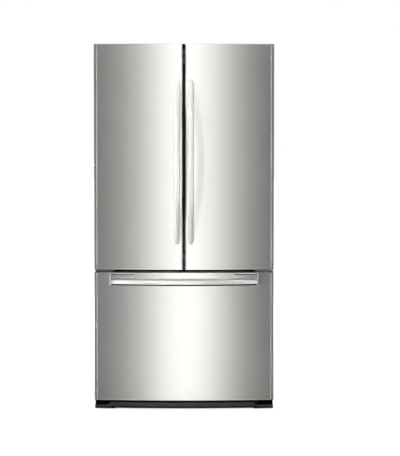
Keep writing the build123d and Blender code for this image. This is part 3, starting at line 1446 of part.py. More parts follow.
with BuildPart() as shroud:
    with BuildSketch(Plane.YZ.offset(shroud_x)):
        add(box_face(machine_y - shroud_half, machine_y + shroud_half, case_bottom_z,
                     machine_roof_z - shroud_top_gap, 8))
        with Locations(condenser_fan_at):
            Circle(condenser_ring, mode=Mode.SUBTRACT)
    extrude(amount=3)
    with BuildSketch(Plane.YZ.offset(shroud_x)):
        with Locations(condenser_fan_at):
            Circle(condenser_ring + 3)
            Circle(condenser_ring, mode=Mode.SUBTRACT)
    extrude(amount=28)
    with BuildSketch(Plane.YZ.offset(shroud_x - 10)):
        with Locations(condenser_fan_at):
            Circle(22)
            Rectangle(2 * condenser_ring + 4, 9)
            Rectangle(9, 2 * condenser_ring + 4)
    extrude(amount=10)
    with BuildSketch(Plane.YZ.offset(shroud_x - 10)):
        with Locations(condenser_fan_at):
            Circle(shaft_radius + pin_fit)
    extrude(amount=10, mode=Mode.SUBTRACT)
save(shroud.part, "fan_shroud")

condenser_rotor = fan_rotor(condenser_blade_radius, 20, 16, 5, 32)
save(condenser_rotor.moved(Location(Plane.YZ)).moved(
    Location((shroud_x + 12, *condenser_fan_at))), "condenser_fan")

lead_entry = (-half_width + lead_entry_inset, case_bottom_z + lead_entry_height)
with BuildPart() as rear_cover:
    with BuildSketch(upright(foam_back_y)):
        add(box_face(-half_width, half_width, case_bottom_z, machine_roof_z - cover_gap))
        for x in (compressor_at[0], condenser_x):
            with Locations((x, condenser_fan_z)):
                with GridLocations(24, 1, 9, 1):
                    SlotOverall(120, 9, rotation=90, mode=Mode.SUBTRACT)
        with Locations(lead_entry):
            Circle(7, mode=Mode.SUBTRACT)
    extrude(amount=-case_gauge)
    # sleeve of the mains lead's entry
    with BuildSketch(upright(foam_back_y)):
        with Locations(lead_entry):
            Circle(11)
            Circle(5.5, mode=Mode.SUBTRACT)
    extrude(amount=12)
    with BuildSketch(upright(foam_back_y)):
        with Locations(lead_entry):
            Circle(8)
            Circle(5.5, mode=Mode.SUBTRACT)
    extrude(amount=-case_gauge)
save(rear_cover.part, "rear_cover")
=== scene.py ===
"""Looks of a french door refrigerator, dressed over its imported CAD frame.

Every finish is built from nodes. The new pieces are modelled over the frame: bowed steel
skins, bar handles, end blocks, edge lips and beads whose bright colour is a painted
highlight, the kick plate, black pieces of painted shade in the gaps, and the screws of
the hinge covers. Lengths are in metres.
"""
import logging
import math
from dataclasses import dataclass
from enum import Enum
from typing import Any, Callable, Sequence

import bpy
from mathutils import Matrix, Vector


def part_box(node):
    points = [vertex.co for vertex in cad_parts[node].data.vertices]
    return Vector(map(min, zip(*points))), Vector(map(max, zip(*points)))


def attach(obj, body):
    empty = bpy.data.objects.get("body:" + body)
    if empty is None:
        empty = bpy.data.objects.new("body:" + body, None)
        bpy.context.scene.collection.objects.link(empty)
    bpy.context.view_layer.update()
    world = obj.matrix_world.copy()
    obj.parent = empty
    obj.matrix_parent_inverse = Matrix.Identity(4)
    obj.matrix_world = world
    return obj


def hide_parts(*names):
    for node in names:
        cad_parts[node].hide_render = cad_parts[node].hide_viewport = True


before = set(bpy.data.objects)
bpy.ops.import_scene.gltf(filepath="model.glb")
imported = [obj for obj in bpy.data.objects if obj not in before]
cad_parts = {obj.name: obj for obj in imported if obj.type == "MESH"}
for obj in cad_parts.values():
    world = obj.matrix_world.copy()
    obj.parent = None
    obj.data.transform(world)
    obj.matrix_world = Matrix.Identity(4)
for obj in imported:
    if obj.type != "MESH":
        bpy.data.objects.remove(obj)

log = logging.getLogger("refrigerator")
Colour = tuple[float, float, float]
Point = tuple[float, float, float]

UP: Point = (0.0, 0.0, 1.0)
ALONG: Point = (1.0, 0.0, 0.0)
BACKWARDS: Point = (0.0, 1.0, 0.0)
DRAWER = "freezer_drawer"
WHITE: Colour = (1.0, 1.0, 1.0)
MERGE_DISTANCE = 0.00001
BUMP_STRENGTH = 0.5
COAT_ROUGHNESS = 0.12
CLEAR_IOR = 1.3


class Way(Enum):
    """Direction in which a finish's grain runs."""

    ALONG_X = (6.0, 40.0, 900.0)
    ALONG_Z = (900.0, 900.0, 6.0)
    NONE = (60.0, 60.0, 60.0)


# ---- shader maths


class Signal:
    """A number that runs through a material's nodes, so that shader maths reads as Python."""

    def __init__(self, book: "NodeBook", socket: Any) -> None:
        """Wraps one output socket of a material's node."""
        self.book = book
        self.socket = socket

    def math(self, operation: str, *others: Any) -> "Signal":
        """Adds a Math node.

        Args:
            operation: the Math node's operation.
            others: numbers or signals that follow this one.

        Returns:
            The node's result.
        """
        return self.book.node("ShaderNodeMath", {"operation": operation}, self, *others)

    def __add__(self, other: Any) -> "Signal":
        """Sum."""
        return self.math("ADD", other)

    __radd__ = __add__

    def __mul__(self, other: Any) -> "Signal":
        """Product."""
        return self.math("MULTIPLY", other)

    __rmul__ = __mul__

    def __sub__(self, other: Any) -> "Signal":
        """Difference."""
        return self.math("SUBTRACT", other)

    def __rsub__(self, other: float) -> "Signal":
        """Reflected difference."""
        return (self * -1.0) + other

    def __truediv__(self, other: Any) -> "Signal":
        """Quotient."""
        return self.math("DIVIDE", other)

    def __pow__(self, other: float) -> "Signal":
        """Power."""
        return self.math("POWER", other)

    def above(self, level: float) -> "Signal":
        """One where the signal is greater than a level, else zero."""
        return self.math("GREATER_THAN", level)

    def ramp(self, low: float, high: float) -> "Signal":
        """Stretches the range low to high over 0 to 1, clamped."""
        return self.book.node("ShaderNodeMapRange", {"clamp": True}, self, low, high, 0.0, 1.0)


class NodeBook:
    """Node tree of one material or world, written as plain calls."""

    def __init__(self, tree: Any) -> None:
        """Empties the tree that it is given."""
        self.tree = tree
        tree.nodes.clear()

    def node(self, kind: str, settings: dict[str, Any], *inputs: Any, out: Any = 0,
             **named: Any) -> Signal:
        """Adds a node.

        Args:
            kind: the node's type.
            settings: its properties.
            inputs: values or signals of its sockets in order; None skips a socket.
            out: name or index of the output that is returned.
            named: values or signals by socket name, with _ for a space.

        Returns:
            The chosen output.
        """
        made = self.tree.nodes.new(kind)
        for key, value in settings.items():
            setattr(made, key, value)
        pairs = [(made.inputs[i], v) for i, v in enumerate(inputs) if v is not None]
        pairs += [(made.inputs[k.replace("_", " ")], v) for k, v in named.items()]
        for socket, value in pairs:
            if isinstance(value, Signal):
                self.tree.links.new(value.socket, socket)
            elif socket.type == "RGBA":
                socket.default_value = (*value[:3], 1.0)
            else:
                socket.default_value = value
        return Signal(self, made.outputs[out] if len(made.outputs) else None)

    def place(self, scale: Point = (1.0, 1.0, 1.0)) -> Signal:
        """Object coordinates, scaled."""
        here = self.node("ShaderNodeTexCoord", {}, out="Object")
        return self.node("ShaderNodeMapping", {}, here, Scale=scale)

    def noise(self, scale: Point, detail: float = 2.0) -> Signal:
        """Noise on the object coordinates.

        Args:
            scale: stretch of the coordinates, in cycles a metre.
            detail: number of octaves.

        Returns:
            The noise, about 0.25 to 0.75.
        """
        return self.node("ShaderNodeTexNoise", {}, self.place(scale), Scale=1.0,
                         Detail=detail, out="Fac")

    def seen(self) -> Signal:
        """One for rays that the camera, gloss or clear pieces show, else zero."""
        path = "ShaderNodeLightPath"
        seen = self.node(path, {}, out="Is Camera Ray")
        seen = seen.math("MAXIMUM", self.node(path, {}, out="Is Glossy Ray"))
        return seen.math("MAXIMUM", self.node(path, {}, out="Is Transmission Ray"))

    def blend(self, share: Any, first: Any, second: Any) -> Signal:
        """Mixes two colours by a share; the Mix node's colour sockets come after its numbers."""
        return self.node("ShaderNodeMix", {"data_type": "RGBA"}, share, None, None, None, None,
                         None, first, second, out=2)

    def bump(self, height: Signal, strength: float, depth: float) -> Signal:
        """Bump from a height signal, with its depth in metres."""
        return self.node("ShaderNodeBump", {}, Height=height, Strength=strength, Distance=depth,
                         out="Normal")


# ---- finishes


@dataclass(frozen=True)
class Finish:
    """A finish of the refrigerator: its colour, gloss and fine grain.

    grain_share and mottle say how far the fine and the broad pattern change its colour,
    grain_depth is the depth of its bump, clear its transmission and glow its emission.
    """

    name: str
    colour: Colour
    roughness: float = 0.4
    metallic: float = 0.0
    coat: float = 0.0
    grain: Way = Way.NONE
    grain_depth: float = 0.00004
    grain_share: float = 0.08
    mottle: float = 0.05
    specular: float = 0.5
    clear: float = 0.0
    glow: float = 0.0

    def shades(self, book: NodeBook) -> tuple[Any, Any, Signal]:
        """Colour, roughness and height of the surface.

        Args:
            book: the material's nodes.

        Returns:
            Base colour, roughness and bump height.
        """
        fine = book.noise(self.grain.value, detail=3.0)
        broad = book.noise((3.0, 3.0, 3.0), detail=2.0)
        dark = tuple(c * (1.0 - self.mottle) for c in self.colour)
        share = (broad - 0.5) * 1.2 + (fine - 0.5) * self.grain_share * 4.0 + 0.5
        colour = book.blend(share.ramp(0.0, 1.0), dark, self.colour)
        rough = (fine - 0.5) * self.grain_share * 1.6 + (broad - 0.5) * 0.06 + self.roughness
        return colour, rough.math("MAXIMUM", 0.03), fine

    def material(self) -> Any:
        """Builds the finish's material, once."""
        made = bpy.data.materials.get(self.name)
        if made is not None:
            return made
        made = bpy.data.materials.new(self.name)
        made.use_nodes = True
        book = NodeBook(made.node_tree)
        colour, rough, height = self.shades(book)
        bump = book.bump(height, BUMP_STRENGTH, self.grain_depth)
        constants: dict[str, Any] = {"Metallic": self.metallic, "Coat_Weight": self.coat,
                                     "Coat_Roughness": COAT_ROUGHNESS,
                                     "Specular_IOR_Level": self.specular}
        if self.clear > 0.0:
            constants |= {"Transmission_Weight": self.clear, "IOR": CLEAR_IOR}
        if self.glow > 0.0:
            constants |= {"Emission_Color": self.colour, "Emission_Strength": self.glow}
        shader = book.node("ShaderNodeBsdfPrincipled", {}, Base_Color=colour, Roughness=rough,
                           Normal=bump, **constants)
        book.node("ShaderNodeOutputMaterial", {}, shader)
        made.diffuse_color = (*self.colour, 1.0)
        return made


@dataclass(frozen=True)
class CoilFins(Finish):
    """Aluminium fins that stand close together on a cooling coil."""

    pitch: float = 0.006
    slot_share: float = 0.35
    slot_shade_tone: float = 0.25

    def shades(self, book: NodeBook) -> tuple[Any, Any, Signal]:
        """Dark slots between bright fins, painted shade in the gaps between them.

        Args:
            book: the material's nodes.

        Returns:
            Base colour, roughness and bump height.
        """
        x = book.node("ShaderNodeSeparateXYZ", {}, book.place(), out="X")
        # The slots are painted shade in the gaps between the fins.
        slot = (x / self.pitch).math("FRACT").above(self.slot_share)
        dark = tuple(c * self.slot_shade_tone for c in self.colour)
        colour = book.blend(slot, dark, self.colour)
        broad = book.noise((20.0, 20.0, 20.0))
        return colour, (broad - 0.5) * 0.2 + self.roughness, slot


@dataclass(frozen=True)
class Spangle(Finish):
    """Zinc plating with its crystal pattern."""

    cells: float = 90.0
    dark_tone: float = 0.82
    rough_range: float = 0.12

    def shades(self, book: NodeBook) -> tuple[Any, Any, Signal]:
        """Crystals of slightly different grey.

        Args:
            book: the material's nodes.

        Returns:
            Base colour, roughness and bump height.
        """
        scaled = book.place((self.cells, self.cells, self.cells))
        cells = book.node("ShaderNodeTexVoronoi", {}, scaled, Scale=1.0, out="Color")
        tone = book.node("ShaderNodeSeparateColor", {}, cells, out=0)
        dark = tuple(c * self.dark_tone for c in self.colour)
        colour = book.blend(tone, dark, self.colour)
        fine = book.noise((400.0, 400.0, 400.0))
        return colour, tone * self.rough_range + self.roughness, fine


STAINLESS = Finish("brushed_stainless", (0.735, 0.735, 0.705), 0.18, 0.76, grain=Way.ALONG_X,
                   grain_depth=0.000001, grain_share=0.015, mottle=0.02)
# The door bars' tone of the satin metal: brighter than the drawer bar's copy, painted light for
# how the light falls on them.
BAR_METAL = Finish("satin_bar_metal", (0.86, 0.86, 0.84), 0.18, 0.50, grain=Way.ALONG_Z,
                   grain_depth=0.00001, grain_share=0.06, mottle=0.03)
# The same satin metal as the door bars, painted darker and less metallic: painted shade on the
# drawer bar and the caps of its end blocks.
SHADED_CROSS_BAR_METAL = Finish("satin_cross_bar_painted_darker", (0.72, 0.72, 0.70), 0.18, 0.30,
                          grain=Way.ALONG_X, grain_depth=0.00001, grain_share=0.06, mottle=0.03)
BLOCK_METAL = Finish("polished_block_metal", (0.82, 0.82, 0.80), 0.14, 0.76, grain=Way.ALONG_X,
                     grain_depth=0.000002, grain_share=0.03, mottle=0.02)
# The lips are real edges; their colour, brighter than the steel of the fronts, is a painted
# highlight along them.
LIP_HIGHLIGHT_METAL = Finish("lip_metal_painted_highlight", (0.92, 0.92, 0.90), 0.16, 0.80, grain=Way.ALONG_X,
                   grain_depth=0.000002, grain_share=0.03, mottle=0.02)
EDGE_TRIM = Finish("grey_edge_trim", (0.42, 0.42, 0.41), 0.25, 0.90,
                   grain_depth=0.000005, grain_share=0.02)
# A pale strip down each outer edge; its pale colour is a painted highlight where the edge catches
# the light.
BEAD_HIGHLIGHT_METAL = Finish("edge_bead_painted_highlight", (0.78, 0.78, 0.76), 0.2, 0.30, grain=Way.ALONG_Z,
                    grain_depth=0.000004, grain_share=0.04, mottle=0.02)
KICK_PLASTIC = Finish("black_kick_moulding", (0.026, 0.026, 0.026), 0.42, grain_depth=0.00005,
                      grain_share=0.10)
# Pure black with no gloss, worn only by pieces that stand for shade: painted shade in the gaps
# and recesses.
PAINTED_SHADE = Finish("painted_shade_matt_black", (0.003, 0.003, 0.003), 0.75, grain_depth=0.00005,
                        specular=0.0)
CASE_PAINT = Finish("grey_case_paint", (0.30, 0.30, 0.30), 0.42, 0.0, coat=0.15,
                    grain=Way.NONE, grain_depth=0.00010, grain_share=0.10)
BACK_STEEL = Finish("painted_back_steel", (0.40, 0.41, 0.41), 0.5, 0.3)
BASE_STEEL = Finish("black_base_steel", (0.035, 0.035, 0.036), 0.45, 0.2)
BLACK_PLASTIC = Finish("black_kick_plastic", (0.022, 0.022, 0.023), 0.38, grain_depth=0.00012,
                       grain_share=0.14)
GREY_PLASTIC = Finish("grey_cap_plastic", (0.20, 0.20, 0.20), 0.42, grain_depth=0.00008)
LINER = Finish("white_liner_plastic", (0.84, 0.84, 0.83), 0.30, coat=0.2, mottle=0.02,
               grain_depth=0.00003)
FOAM = Finish("insulating_foam", (0.80, 0.70, 0.45), 0.9, grain_depth=0.0006, grain_share=0.3,
              mottle=0.2)
SEAL = Finish("grey_door_seal", (0.16, 0.16, 0.16), 0.6, grain_depth=0.00006)
CLEAR_BIN = Finish("clear_bin_plastic", (0.92, 0.95, 0.96), 0.09, clear=0.80, mottle=0.02,
                   grain_depth=0.00002, grain_share=0.03)
SHELF_FRAME = Finish("white_shelf_frame", (0.80, 0.80, 0.80), 0.32, mottle=0.02)
SHELF_GLASS = Finish("tempered_shelf_glass", (0.86, 0.95, 0.92), 0.03, clear=0.92, mottle=0.01,
                     grain_depth=0.000005, grain_share=0.01)
BASKET = Finish("white_basket_coating", (0.82, 0.82, 0.82), 0.35, coat=0.25)
TRAY = Finish("frosted_tray_plastic", (0.86, 0.88, 0.90), 0.35, clear=0.35, mottle=0.03)
SLIDER = Finish("dark_slider_plastic", (0.14, 0.15, 0.16), 0.4)
PANEL = Finish("control_panel_plastic", (0.045, 0.046, 0.05), 0.22, coat=0.4)
LAMP_COVER = Finish("frosted_lamp_cover", (0.95, 0.95, 0.92), 0.35, glow=0.25)
FAN_PLASTIC = Finish("dark_fan_plastic", (0.05, 0.05, 0.052), 0.45, grain_depth=0.0001)
BLACK_STEEL = Finish("black_machine_steel", (0.022, 0.022, 0.022), 0.32, 0.0, coat=0.3)
ROLLER = Finish("roller_plastic", (0.06, 0.06, 0.06), 0.5)
ZINC = Spangle("zinc_plated_steel", (0.60, 0.61, 0.62), 0.32, 0.9)
FINS = CoilFins("aluminium_coil_fins", (0.74, 0.75, 0.76), 0.35, 0.9)
SCREW = Finish("screw_steel", (0.52, 0.52, 0.53), 0.3, 1.0)

CAD_FINISHES: dict[str, Finish] = {
    "outer_case": CASE_PAINT, "back_panel": BACK_STEEL, "cabinet_foam": FOAM,
    "fridge_liner": LINER, "freezer_liner": LINER, "divider_rail": CASE_PAINT,
    "base_frame": BASE_STEEL, "kick_plate": BLACK_PLASTIC, "door_hinges": ZINC,
    "hinge_covers": GREY_PLASTIC, "drawer_trim": EDGE_TRIM, "drawer_skin": STAINLESS,
    "drawer_foam": FOAM, "drawer_inner_panel": LINER, "drawer_gasket": SEAL,
    "drawer_handle": SHADED_CROSS_BAR_METAL, "drawer_handle_blocks": SHADED_CROSS_BAR_METAL,
    "dairy_lid": CLEAR_BIN, "folding_centre_bar": GREY_PLASTIC,
    "centre_bar_brackets": GREY_PLASTIC, "centre_bar_guides": LINER, "fixed_slides": ZINC,
    "middle_slides": ZINC, "drawer_slides": ZINC, "freezer_basket": BASKET,
    "freezer_tray": TRAY, "shelf_rims": SHELF_FRAME, "shelf_glass": SHELF_GLASS,
    "crispers_and_pantry_drawer": CLEAR_BIN, "air_duct": LINER, "ceiling_light": LAMP_COVER,
    "control_panel": PANEL, "evaporator_cover": LINER, "evaporator_fan": FAN_PLASTIC,
    "evaporator": FINS, "condenser_coil": BLACK_STEEL, "compressor": BLACK_STEEL,
    "fan_shroud": FAN_PLASTIC, "condenser_fan": FAN_PLASTIC, "rear_cover": BACK_STEEL,
}
SIDED_FINISHES: dict[str, Finish] = {
    "levelling_leg": ZINC, "rear_roller": ROLLER, "door_trim": EDGE_TRIM,
    "door_skin": STAINLESS, "door_foam": FOAM, "door_inner_panel": LINER,
    "door_gasket": SEAL, "door_handle": BAR_METAL, "door_bins": CLEAR_BIN,
    "humidity_slider": SLIDER,
}
CAD_FINISHES |= {f"{side}_{node}": finish for side in ("left", "right")
                 for node, finish in SIDED_FINISHES.items()}


# ---- studio


@dataclass(frozen=True)
class Lamp:
    """A soft area lamp: its place, the point it faces, its size, watts and beam in degrees."""

    name: str
    at: Point
    target: Point
    size: tuple[float, float]
    power: float
    spread: float = 180.0


LAMPS = (
    Lamp("key_lamp", (-4.6, -5.4, 1.1), (0.0, -0.3, 1.0), (0.5, 3.4), 9.0, 6.0),
    Lamp("fill_lamp", (0.0, -5.2, 5.4), (0.0, -0.3, 0.7), (4.0, 0.9), 46.0),
    Lamp("top_lamp", (0.0, 0.2, 5.0), (0.0, 0.0, 0.0), (5.0, 5.0), 70.0),
    Lamp("rear_lamp", (0.6, 5.0, 3.0), (0.0, 0.0, 0.9), (4.0, 3.0), 110.0),
)


@dataclass
class Studio:
    """Plain studio: pale floor, white surroundings, soft lamps and a graded card round it.

    Angles are in degrees. The card's are measured from straight ahead of the front.
    """

    camera_at: Point = (0.0745, -8.0577, 1.2159)
    camera_tilt: float = 2.7177
    lens: float = 131.55
    sensor: float = 36.0
    sight: float = 200.0
    floor_half: float = 60.0
    floor_grey: Colour = (0.9, 0.9, 0.9)
    glow_from: float = 1.2
    glow_to: float = 6.0
    glow_near: float = 0.72
    glow_more: float = 0.4
    world_level: float = 0.25
    card_radius: float = 11.0
    card_low: float = -60.0
    card_high: float = 9.0
    card_peak: float = 1.62
    card_ground: float = 0.012
    card_spread: float = 0.146
    card_foot: float = -3.4
    card_full: float = -2.0
    side_panel: float = 2.0
    panel_from: float = 34.0
    panel_to: float = 50.0
    panel_soft: float = 4.0
    behind_from: float = 100.0
    behind_to: float = 150.0
    behind_level: float = 0.6

    def camera(self) -> None:
        """Adds the camera, almost level and far off."""
        data = bpy.data.cameras.new("studio_camera")
        data.sensor_width = self.sensor
        data.lens = self.lens
        data.clip_end = self.sight
        camera = bpy.data.objects.new("studio_camera", data)
        camera.location = self.camera_at
        camera.rotation_euler = (math.radians(90.0 - self.camera_tilt), 0.0, 0.0)
        bpy.context.scene.collection.objects.link(camera)
        bpy.context.scene.camera = camera

    def world(self) -> None:
        """White for the camera, for gloss and for clear pieces; a plain level for the rest."""
        world = bpy.data.worlds.new("studio_world")
        world.use_nodes = True
        bpy.context.scene.world = world
        book = NodeBook(world.node_tree)
        strength = book.seen() * (1.0 - self.world_level) + self.world_level
        back = book.node("ShaderNodeBackground", {}, Color=WHITE, Strength=strength)
        book.node("ShaderNodeOutputWorld", {}, back)

    @staticmethod
    def lamp(lamp: Lamp) -> None:
        """Adds a soft area lamp, which lights but isn't seen."""
        data = bpy.data.lights.new(lamp.name, "AREA")
        data.spread = math.radians(lamp.spread)
        data.shape = "RECTANGLE"
        data.size, data.size_y = lamp.size
        data.energy = lamp.power
        made = bpy.data.objects.new(lamp.name, data)
        made.location = lamp.at
        aim = Vector(lamp.target) - Vector(lamp.at)
        made.rotation_euler = aim.to_track_quat("-Z", "Y").to_euler()
        made.visible_glossy = False
        made.visible_camera = False
        bpy.context.scene.collection.objects.link(made)

    def floor(self) -> None:
        """Lays the pale floor, white to the camera save where the object shades it."""
        bpy.ops.mesh.primitive_plane_add(size=2 * self.floor_half, location=(0.0, 0.0, 0.0))
        floor = bpy.context.object
        floor.name = "studio_floor"
        made = bpy.data.materials.new("studio_floor")
        made.use_nodes = True
        book = NodeBook(made.node_tree)
        matt = book.node("ShaderNodeBsdfDiffuse", {}, Color=self.floor_grey)
        reach = book.node("ShaderNodeVectorMath", {"operation": "LENGTH"}, book.place(),
                          out="Value")
        far = reach.ramp(self.glow_from, self.glow_to)
        glow = (far * self.glow_more + self.glow_near) * book.seen()
        lift = book.node("ShaderNodeEmission", {}, Color=WHITE, Strength=glow)
        both = book.node("ShaderNodeAddShader", {}, matt, lift)
        book.node("ShaderNodeOutputMaterial", {}, both)
        floor.data.materials.append(made)
        floor.visible_glossy = False

    def card(self) -> None:
        """Stands a round card about the object, which only gloss shows: bright ahead."""
        bpy.ops.mesh.primitive_cylinder_add(vertices=256, radius=self.card_radius,
                                            depth=self.card_high - self.card_low,
                                            end_fill_type="NOTHING",
                                            location=(0, 0, (self.card_high + self.card_low) / 2))
        card = bpy.context.object
        card.name = "studio_card"
        bpy.ops.object.transform_apply(location=True)
        made = bpy.data.materials.new("studio_card")
        made.use_nodes = True
        book = NodeBook(made.node_tree)
        here = book.place()
        x = book.node("ShaderNodeSeparateXYZ", {}, here, out="X")
        y = book.node("ShaderNodeSeparateXYZ", {}, here, out="Y")
        angle = x.math("ARCTAN2", y * -1.0)
        z = book.node("ShaderNodeSeparateXYZ", {}, here, out="Z")
        lobe = ((angle / self.card_spread) ** 2.0 * -1.0).math("EXPONENT")
        aside = angle.math("ABSOLUTE")
        panels = self.panel(aside) * self.side_panel
        behind = aside.ramp(math.radians(self.behind_from), math.radians(self.behind_to))
        front = (lobe * self.card_peak + panels) * z.ramp(self.card_foot, self.card_full)
        strength = front + behind * self.behind_level + self.card_ground
        glow = book.node("ShaderNodeEmission", {}, Color=WHITE, Strength=strength)
        book.node("ShaderNodeOutputMaterial", {}, glow)
        card.data.materials.append(made)
        for ray in ("camera", "diffuse", "shadow", "transmission", "volume_scatter"):
            setattr(card, f"visible_{ray}", False)

    def panel(self, angle: Signal) -> Signal:
        """One where an angle lies on the side panels, with soft ends."""
        rise = angle.ramp(math.radians(self.panel_from),
                          math.radians(self.panel_from + self.panel_soft))
        return rise - angle.ramp(math.radians(self.panel_to),
                                 math.radians(self.panel_to + self.panel_soft))

    def build(self) -> None:
        """Sets up the whole studio."""
        bpy.context.scene.view_settings.view_transform = "Standard"
        self.camera()
        self.world()
        self.floor()
        self.card()
        for lamp in LAMPS:
            self.lamp(lamp)


# ---- modelling helpers


def start_clean() -> None:
    """Leaves object mode and deselects everything."""
    if bpy.context.object is not None and bpy.context.object.mode != "OBJECT":
        bpy.ops.object.mode_set(mode="OBJECT")
    bpy.ops.object.select_all(action="DESELECT")


def focus(piece: Any) -> None:
    """Selects one piece alone and makes it the active one."""
    start_clean()
    piece.select_set(True)
    bpy.context.view_layer.objects.active = piece


def pick(piece: Any, kind: str, wanted: Callable[[Any], bool]) -> None:
    """Selects elements of a mesh by their place or normal.

    Args:
        piece: the object, in edit mode.
        kind: "VERT", "EDGE" or "FACE".
        wanted: test that each element passes to be selected.
    """
    bpy.ops.mesh.select_mode(type=kind)
    bpy.ops.mesh.select_all(action="DESELECT")
    bpy.ops.object.mode_set(mode="OBJECT")
    mesh = piece.data
    items = {"VERT": mesh.vertices, "EDGE": mesh.edges, "FACE": mesh.polygons}[kind]
    for item in items:
        item.select = bool(wanted(item))
    bpy.ops.object.mode_set(mode="EDIT")


def settle(piece: Any, name: str, finish: Finish, body: str, smooth: float = 35.0) -> Any:
    """Names, dresses, seats and reports a finished piece.

    Args:
        piece: the modelled object.
        name: its name.
        finish: its finish.
        body: the body that it rides on.
        smooth: largest angle, in degrees, over which faces shade smoothly.

    Returns:
        The piece.
    """
    focus(piece)
    bpy.ops.object.transform_apply(location=True, rotation=True, scale=True)
    bpy.ops.object.shade_smooth_by_angle(angle=math.radians(smooth))
    piece.name = piece.data.name = name
    piece.data.materials.clear()
    piece.data.materials.append(finish.material())
    piece.select_set(False)
    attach(piece, body)
    log.info("modelled %s", name)
    return piece


def finish_mods(piece: Any) -> None:
    """Applies every modifier of a piece."""
    focus(piece)
    for modifier in list(piece.modifiers):
        bpy.ops.object.modifier_apply(modifier=modifier.name)


def block(lo: Sequence[float], hi: Sequence[float]) -> Any:
    """Adds a block between two corners, as the start of a piece.

    Args:
        lo: lowest corner.
        hi: highest corner.

    Returns:
        The new object, selected and active.
    """
    start_clean()
    centre = [(a + b) / 2 for a, b in zip(lo, hi)]
    bpy.ops.mesh.primitive_cube_add(size=1.0, location=centre)
    piece = bpy.context.object
    piece.scale = [b - a for a, b in zip(lo, hi)]
    bpy.ops.object.transform_apply(location=True, rotation=True, scale=True)
    return piece


def bevel(piece: Any, width: float, segments: int = 3, angle: float = 30.0) -> None:
    """Rounds the edges sharper than an angle, in degrees, with a bevel that is applied."""
    made = piece.modifiers.new("round", "BEVEL")
    made.width = width
    made.segments = segments
    made.limit_method = "ANGLE"
    made.angle_limit = math.radians(angle)
    finish_mods(piece)


def spin(angle: float, centre: Sequence[float], axis: Sequence[float], steps: int) -> None:
    """Spins what is selected in edit mode.

    Args:
        angle: angle of the spin; it turns against the right-hand rule about the axis.
        centre: a point of the axis.
        axis: direction of the axis.
        steps: number of steps.
    """
    bpy.ops.mesh.spin(steps=steps, angle=angle, center=centre, axis=axis)


def trim_side(point: Sequence[float], outwards: Sequence[float]) -> None:
    """Cuts away what lies beyond a plane and closes the cut, in edit mode."""
    bpy.ops.mesh.select_all(action="SELECT")
    bpy.ops.mesh.bisect(plane_co=point, plane_no=outwards, clear_outer=True, use_fill=True)


def trim_piece(planes: Sequence[tuple[Point, Point]]) -> None:
    """Cuts the active piece, in object mode, by planes given as points and directions."""
    bpy.ops.object.mode_set(mode="EDIT")
    for point, outwards in planes:
        trim_side(point, outwards)
    bpy.ops.object.mode_set(mode="OBJECT")


def round_edges(piece: Any, radius: float, wanted: Callable[[Any], bool]) -> None:
    """Rounds the edges of a piece that pass a test, in object mode."""
    bpy.ops.object.mode_set(mode="EDIT")
    pick(piece, "EDGE", wanted)
    bpy.ops.mesh.bevel(offset=radius, segments=6)
    bpy.ops.object.mode_set(mode="OBJECT")


def tidy_mesh() -> None:
    """Merges doubles and turns every face outwards, then leaves edit mode."""
    bpy.ops.mesh.select_all(action="SELECT")
    bpy.ops.mesh.remove_doubles(threshold=MERGE_DISTANCE)
    bpy.ops.mesh.normals_make_consistent(inside=False)
    bpy.ops.object.mode_set(mode="OBJECT")


def section(width: float, depth: float, corner: float, at: Point, turn: Point,
            segments: int = 8) -> Any:
    """Adds a flat rounded section, ready in edit mode to be spun or extruded.

    Args:
        width: its size along its own X.
        depth: its size along its own Y.
        corner: radius of its corners.
        at: its centre.
        turn: its rotation.
        segments: steps round each corner.

    Returns:
        The new object, in edit mode and selected all over.
    """
    start_clean()
    bpy.ops.mesh.primitive_plane_add(size=1.0, location=at, rotation=turn)
    piece = bpy.context.object
    piece.scale = (width, depth, 1.0)
    bpy.ops.object.transform_apply(location=True, rotation=True, scale=True)
    bpy.ops.object.mode_set(mode="EDIT")
    bpy.ops.mesh.select_all(action="SELECT")
    if corner > 0:
        bpy.ops.mesh.bevel(offset=corner, segments=segments, affect="VERTICES")
        bpy.ops.mesh.select_all(action="SELECT")
    return piece


def join(pieces: Sequence[Any]) -> Any:
    """Joins finished parts into the first of them."""
    start_clean()
    for piece in pieces:
        piece.select_set(True)
    bpy.context.view_layer.objects.active = pieces[0]
    bpy.ops.object.join()
    return pieces[0]


def copies(template: Any, places: Sequence[tuple[Point, Point]]) -> Any:
    """Copies a part to each place and joins the copies.

    Args:
        template: the part, made at the origin and facing +Z; it is used up.
        places: for each copy, its place and the direction that it faces.

    Returns:
        The joined copies.
    """
    made = []
    for place, facing in places:
        focus(template)
        bpy.ops.object.duplicate()
        copy = bpy.context.object
        copy.location = place
        copy.rotation_euler = Vector(facing).to_track_quat("Z", "Y").to_euler()
        made.append(copy)
    focus(template)
    bpy.ops.object.delete()
    return join(made)


def screw_head(radius: float, height: float) -> Any:
    """Models a pan-head screw with a round socket, facing +Z."""
    rim, rise, wall, sink = 0.22, 0.3, 0.36, 0.7
    start_clean()
    bpy.ops.mesh.primitive_cylinder_add(vertices=24, radius=radius, depth=height,
                                        location=(0.0, 0.0, height / 2))
    screw = bpy.context.object
    bpy.ops.object.transform_apply(location=True)
    bpy.ops.object.mode_set(mode="EDIT")
    pick(screw, "FACE", lambda f: f.normal.z > 0.9)
    bpy.ops.mesh.inset(thickness=radius * rim)
    bpy.ops.transform.translate(value=(0.0, 0.0, height * rise))
    bpy.ops.mesh.inset(thickness=radius * wall)
    bpy.ops.mesh.extrude_region_move(TRANSFORM_OT_translate={"value": (0, 0, -height * sink)})
    tidy_mesh()
    return screw


# ---- fronts


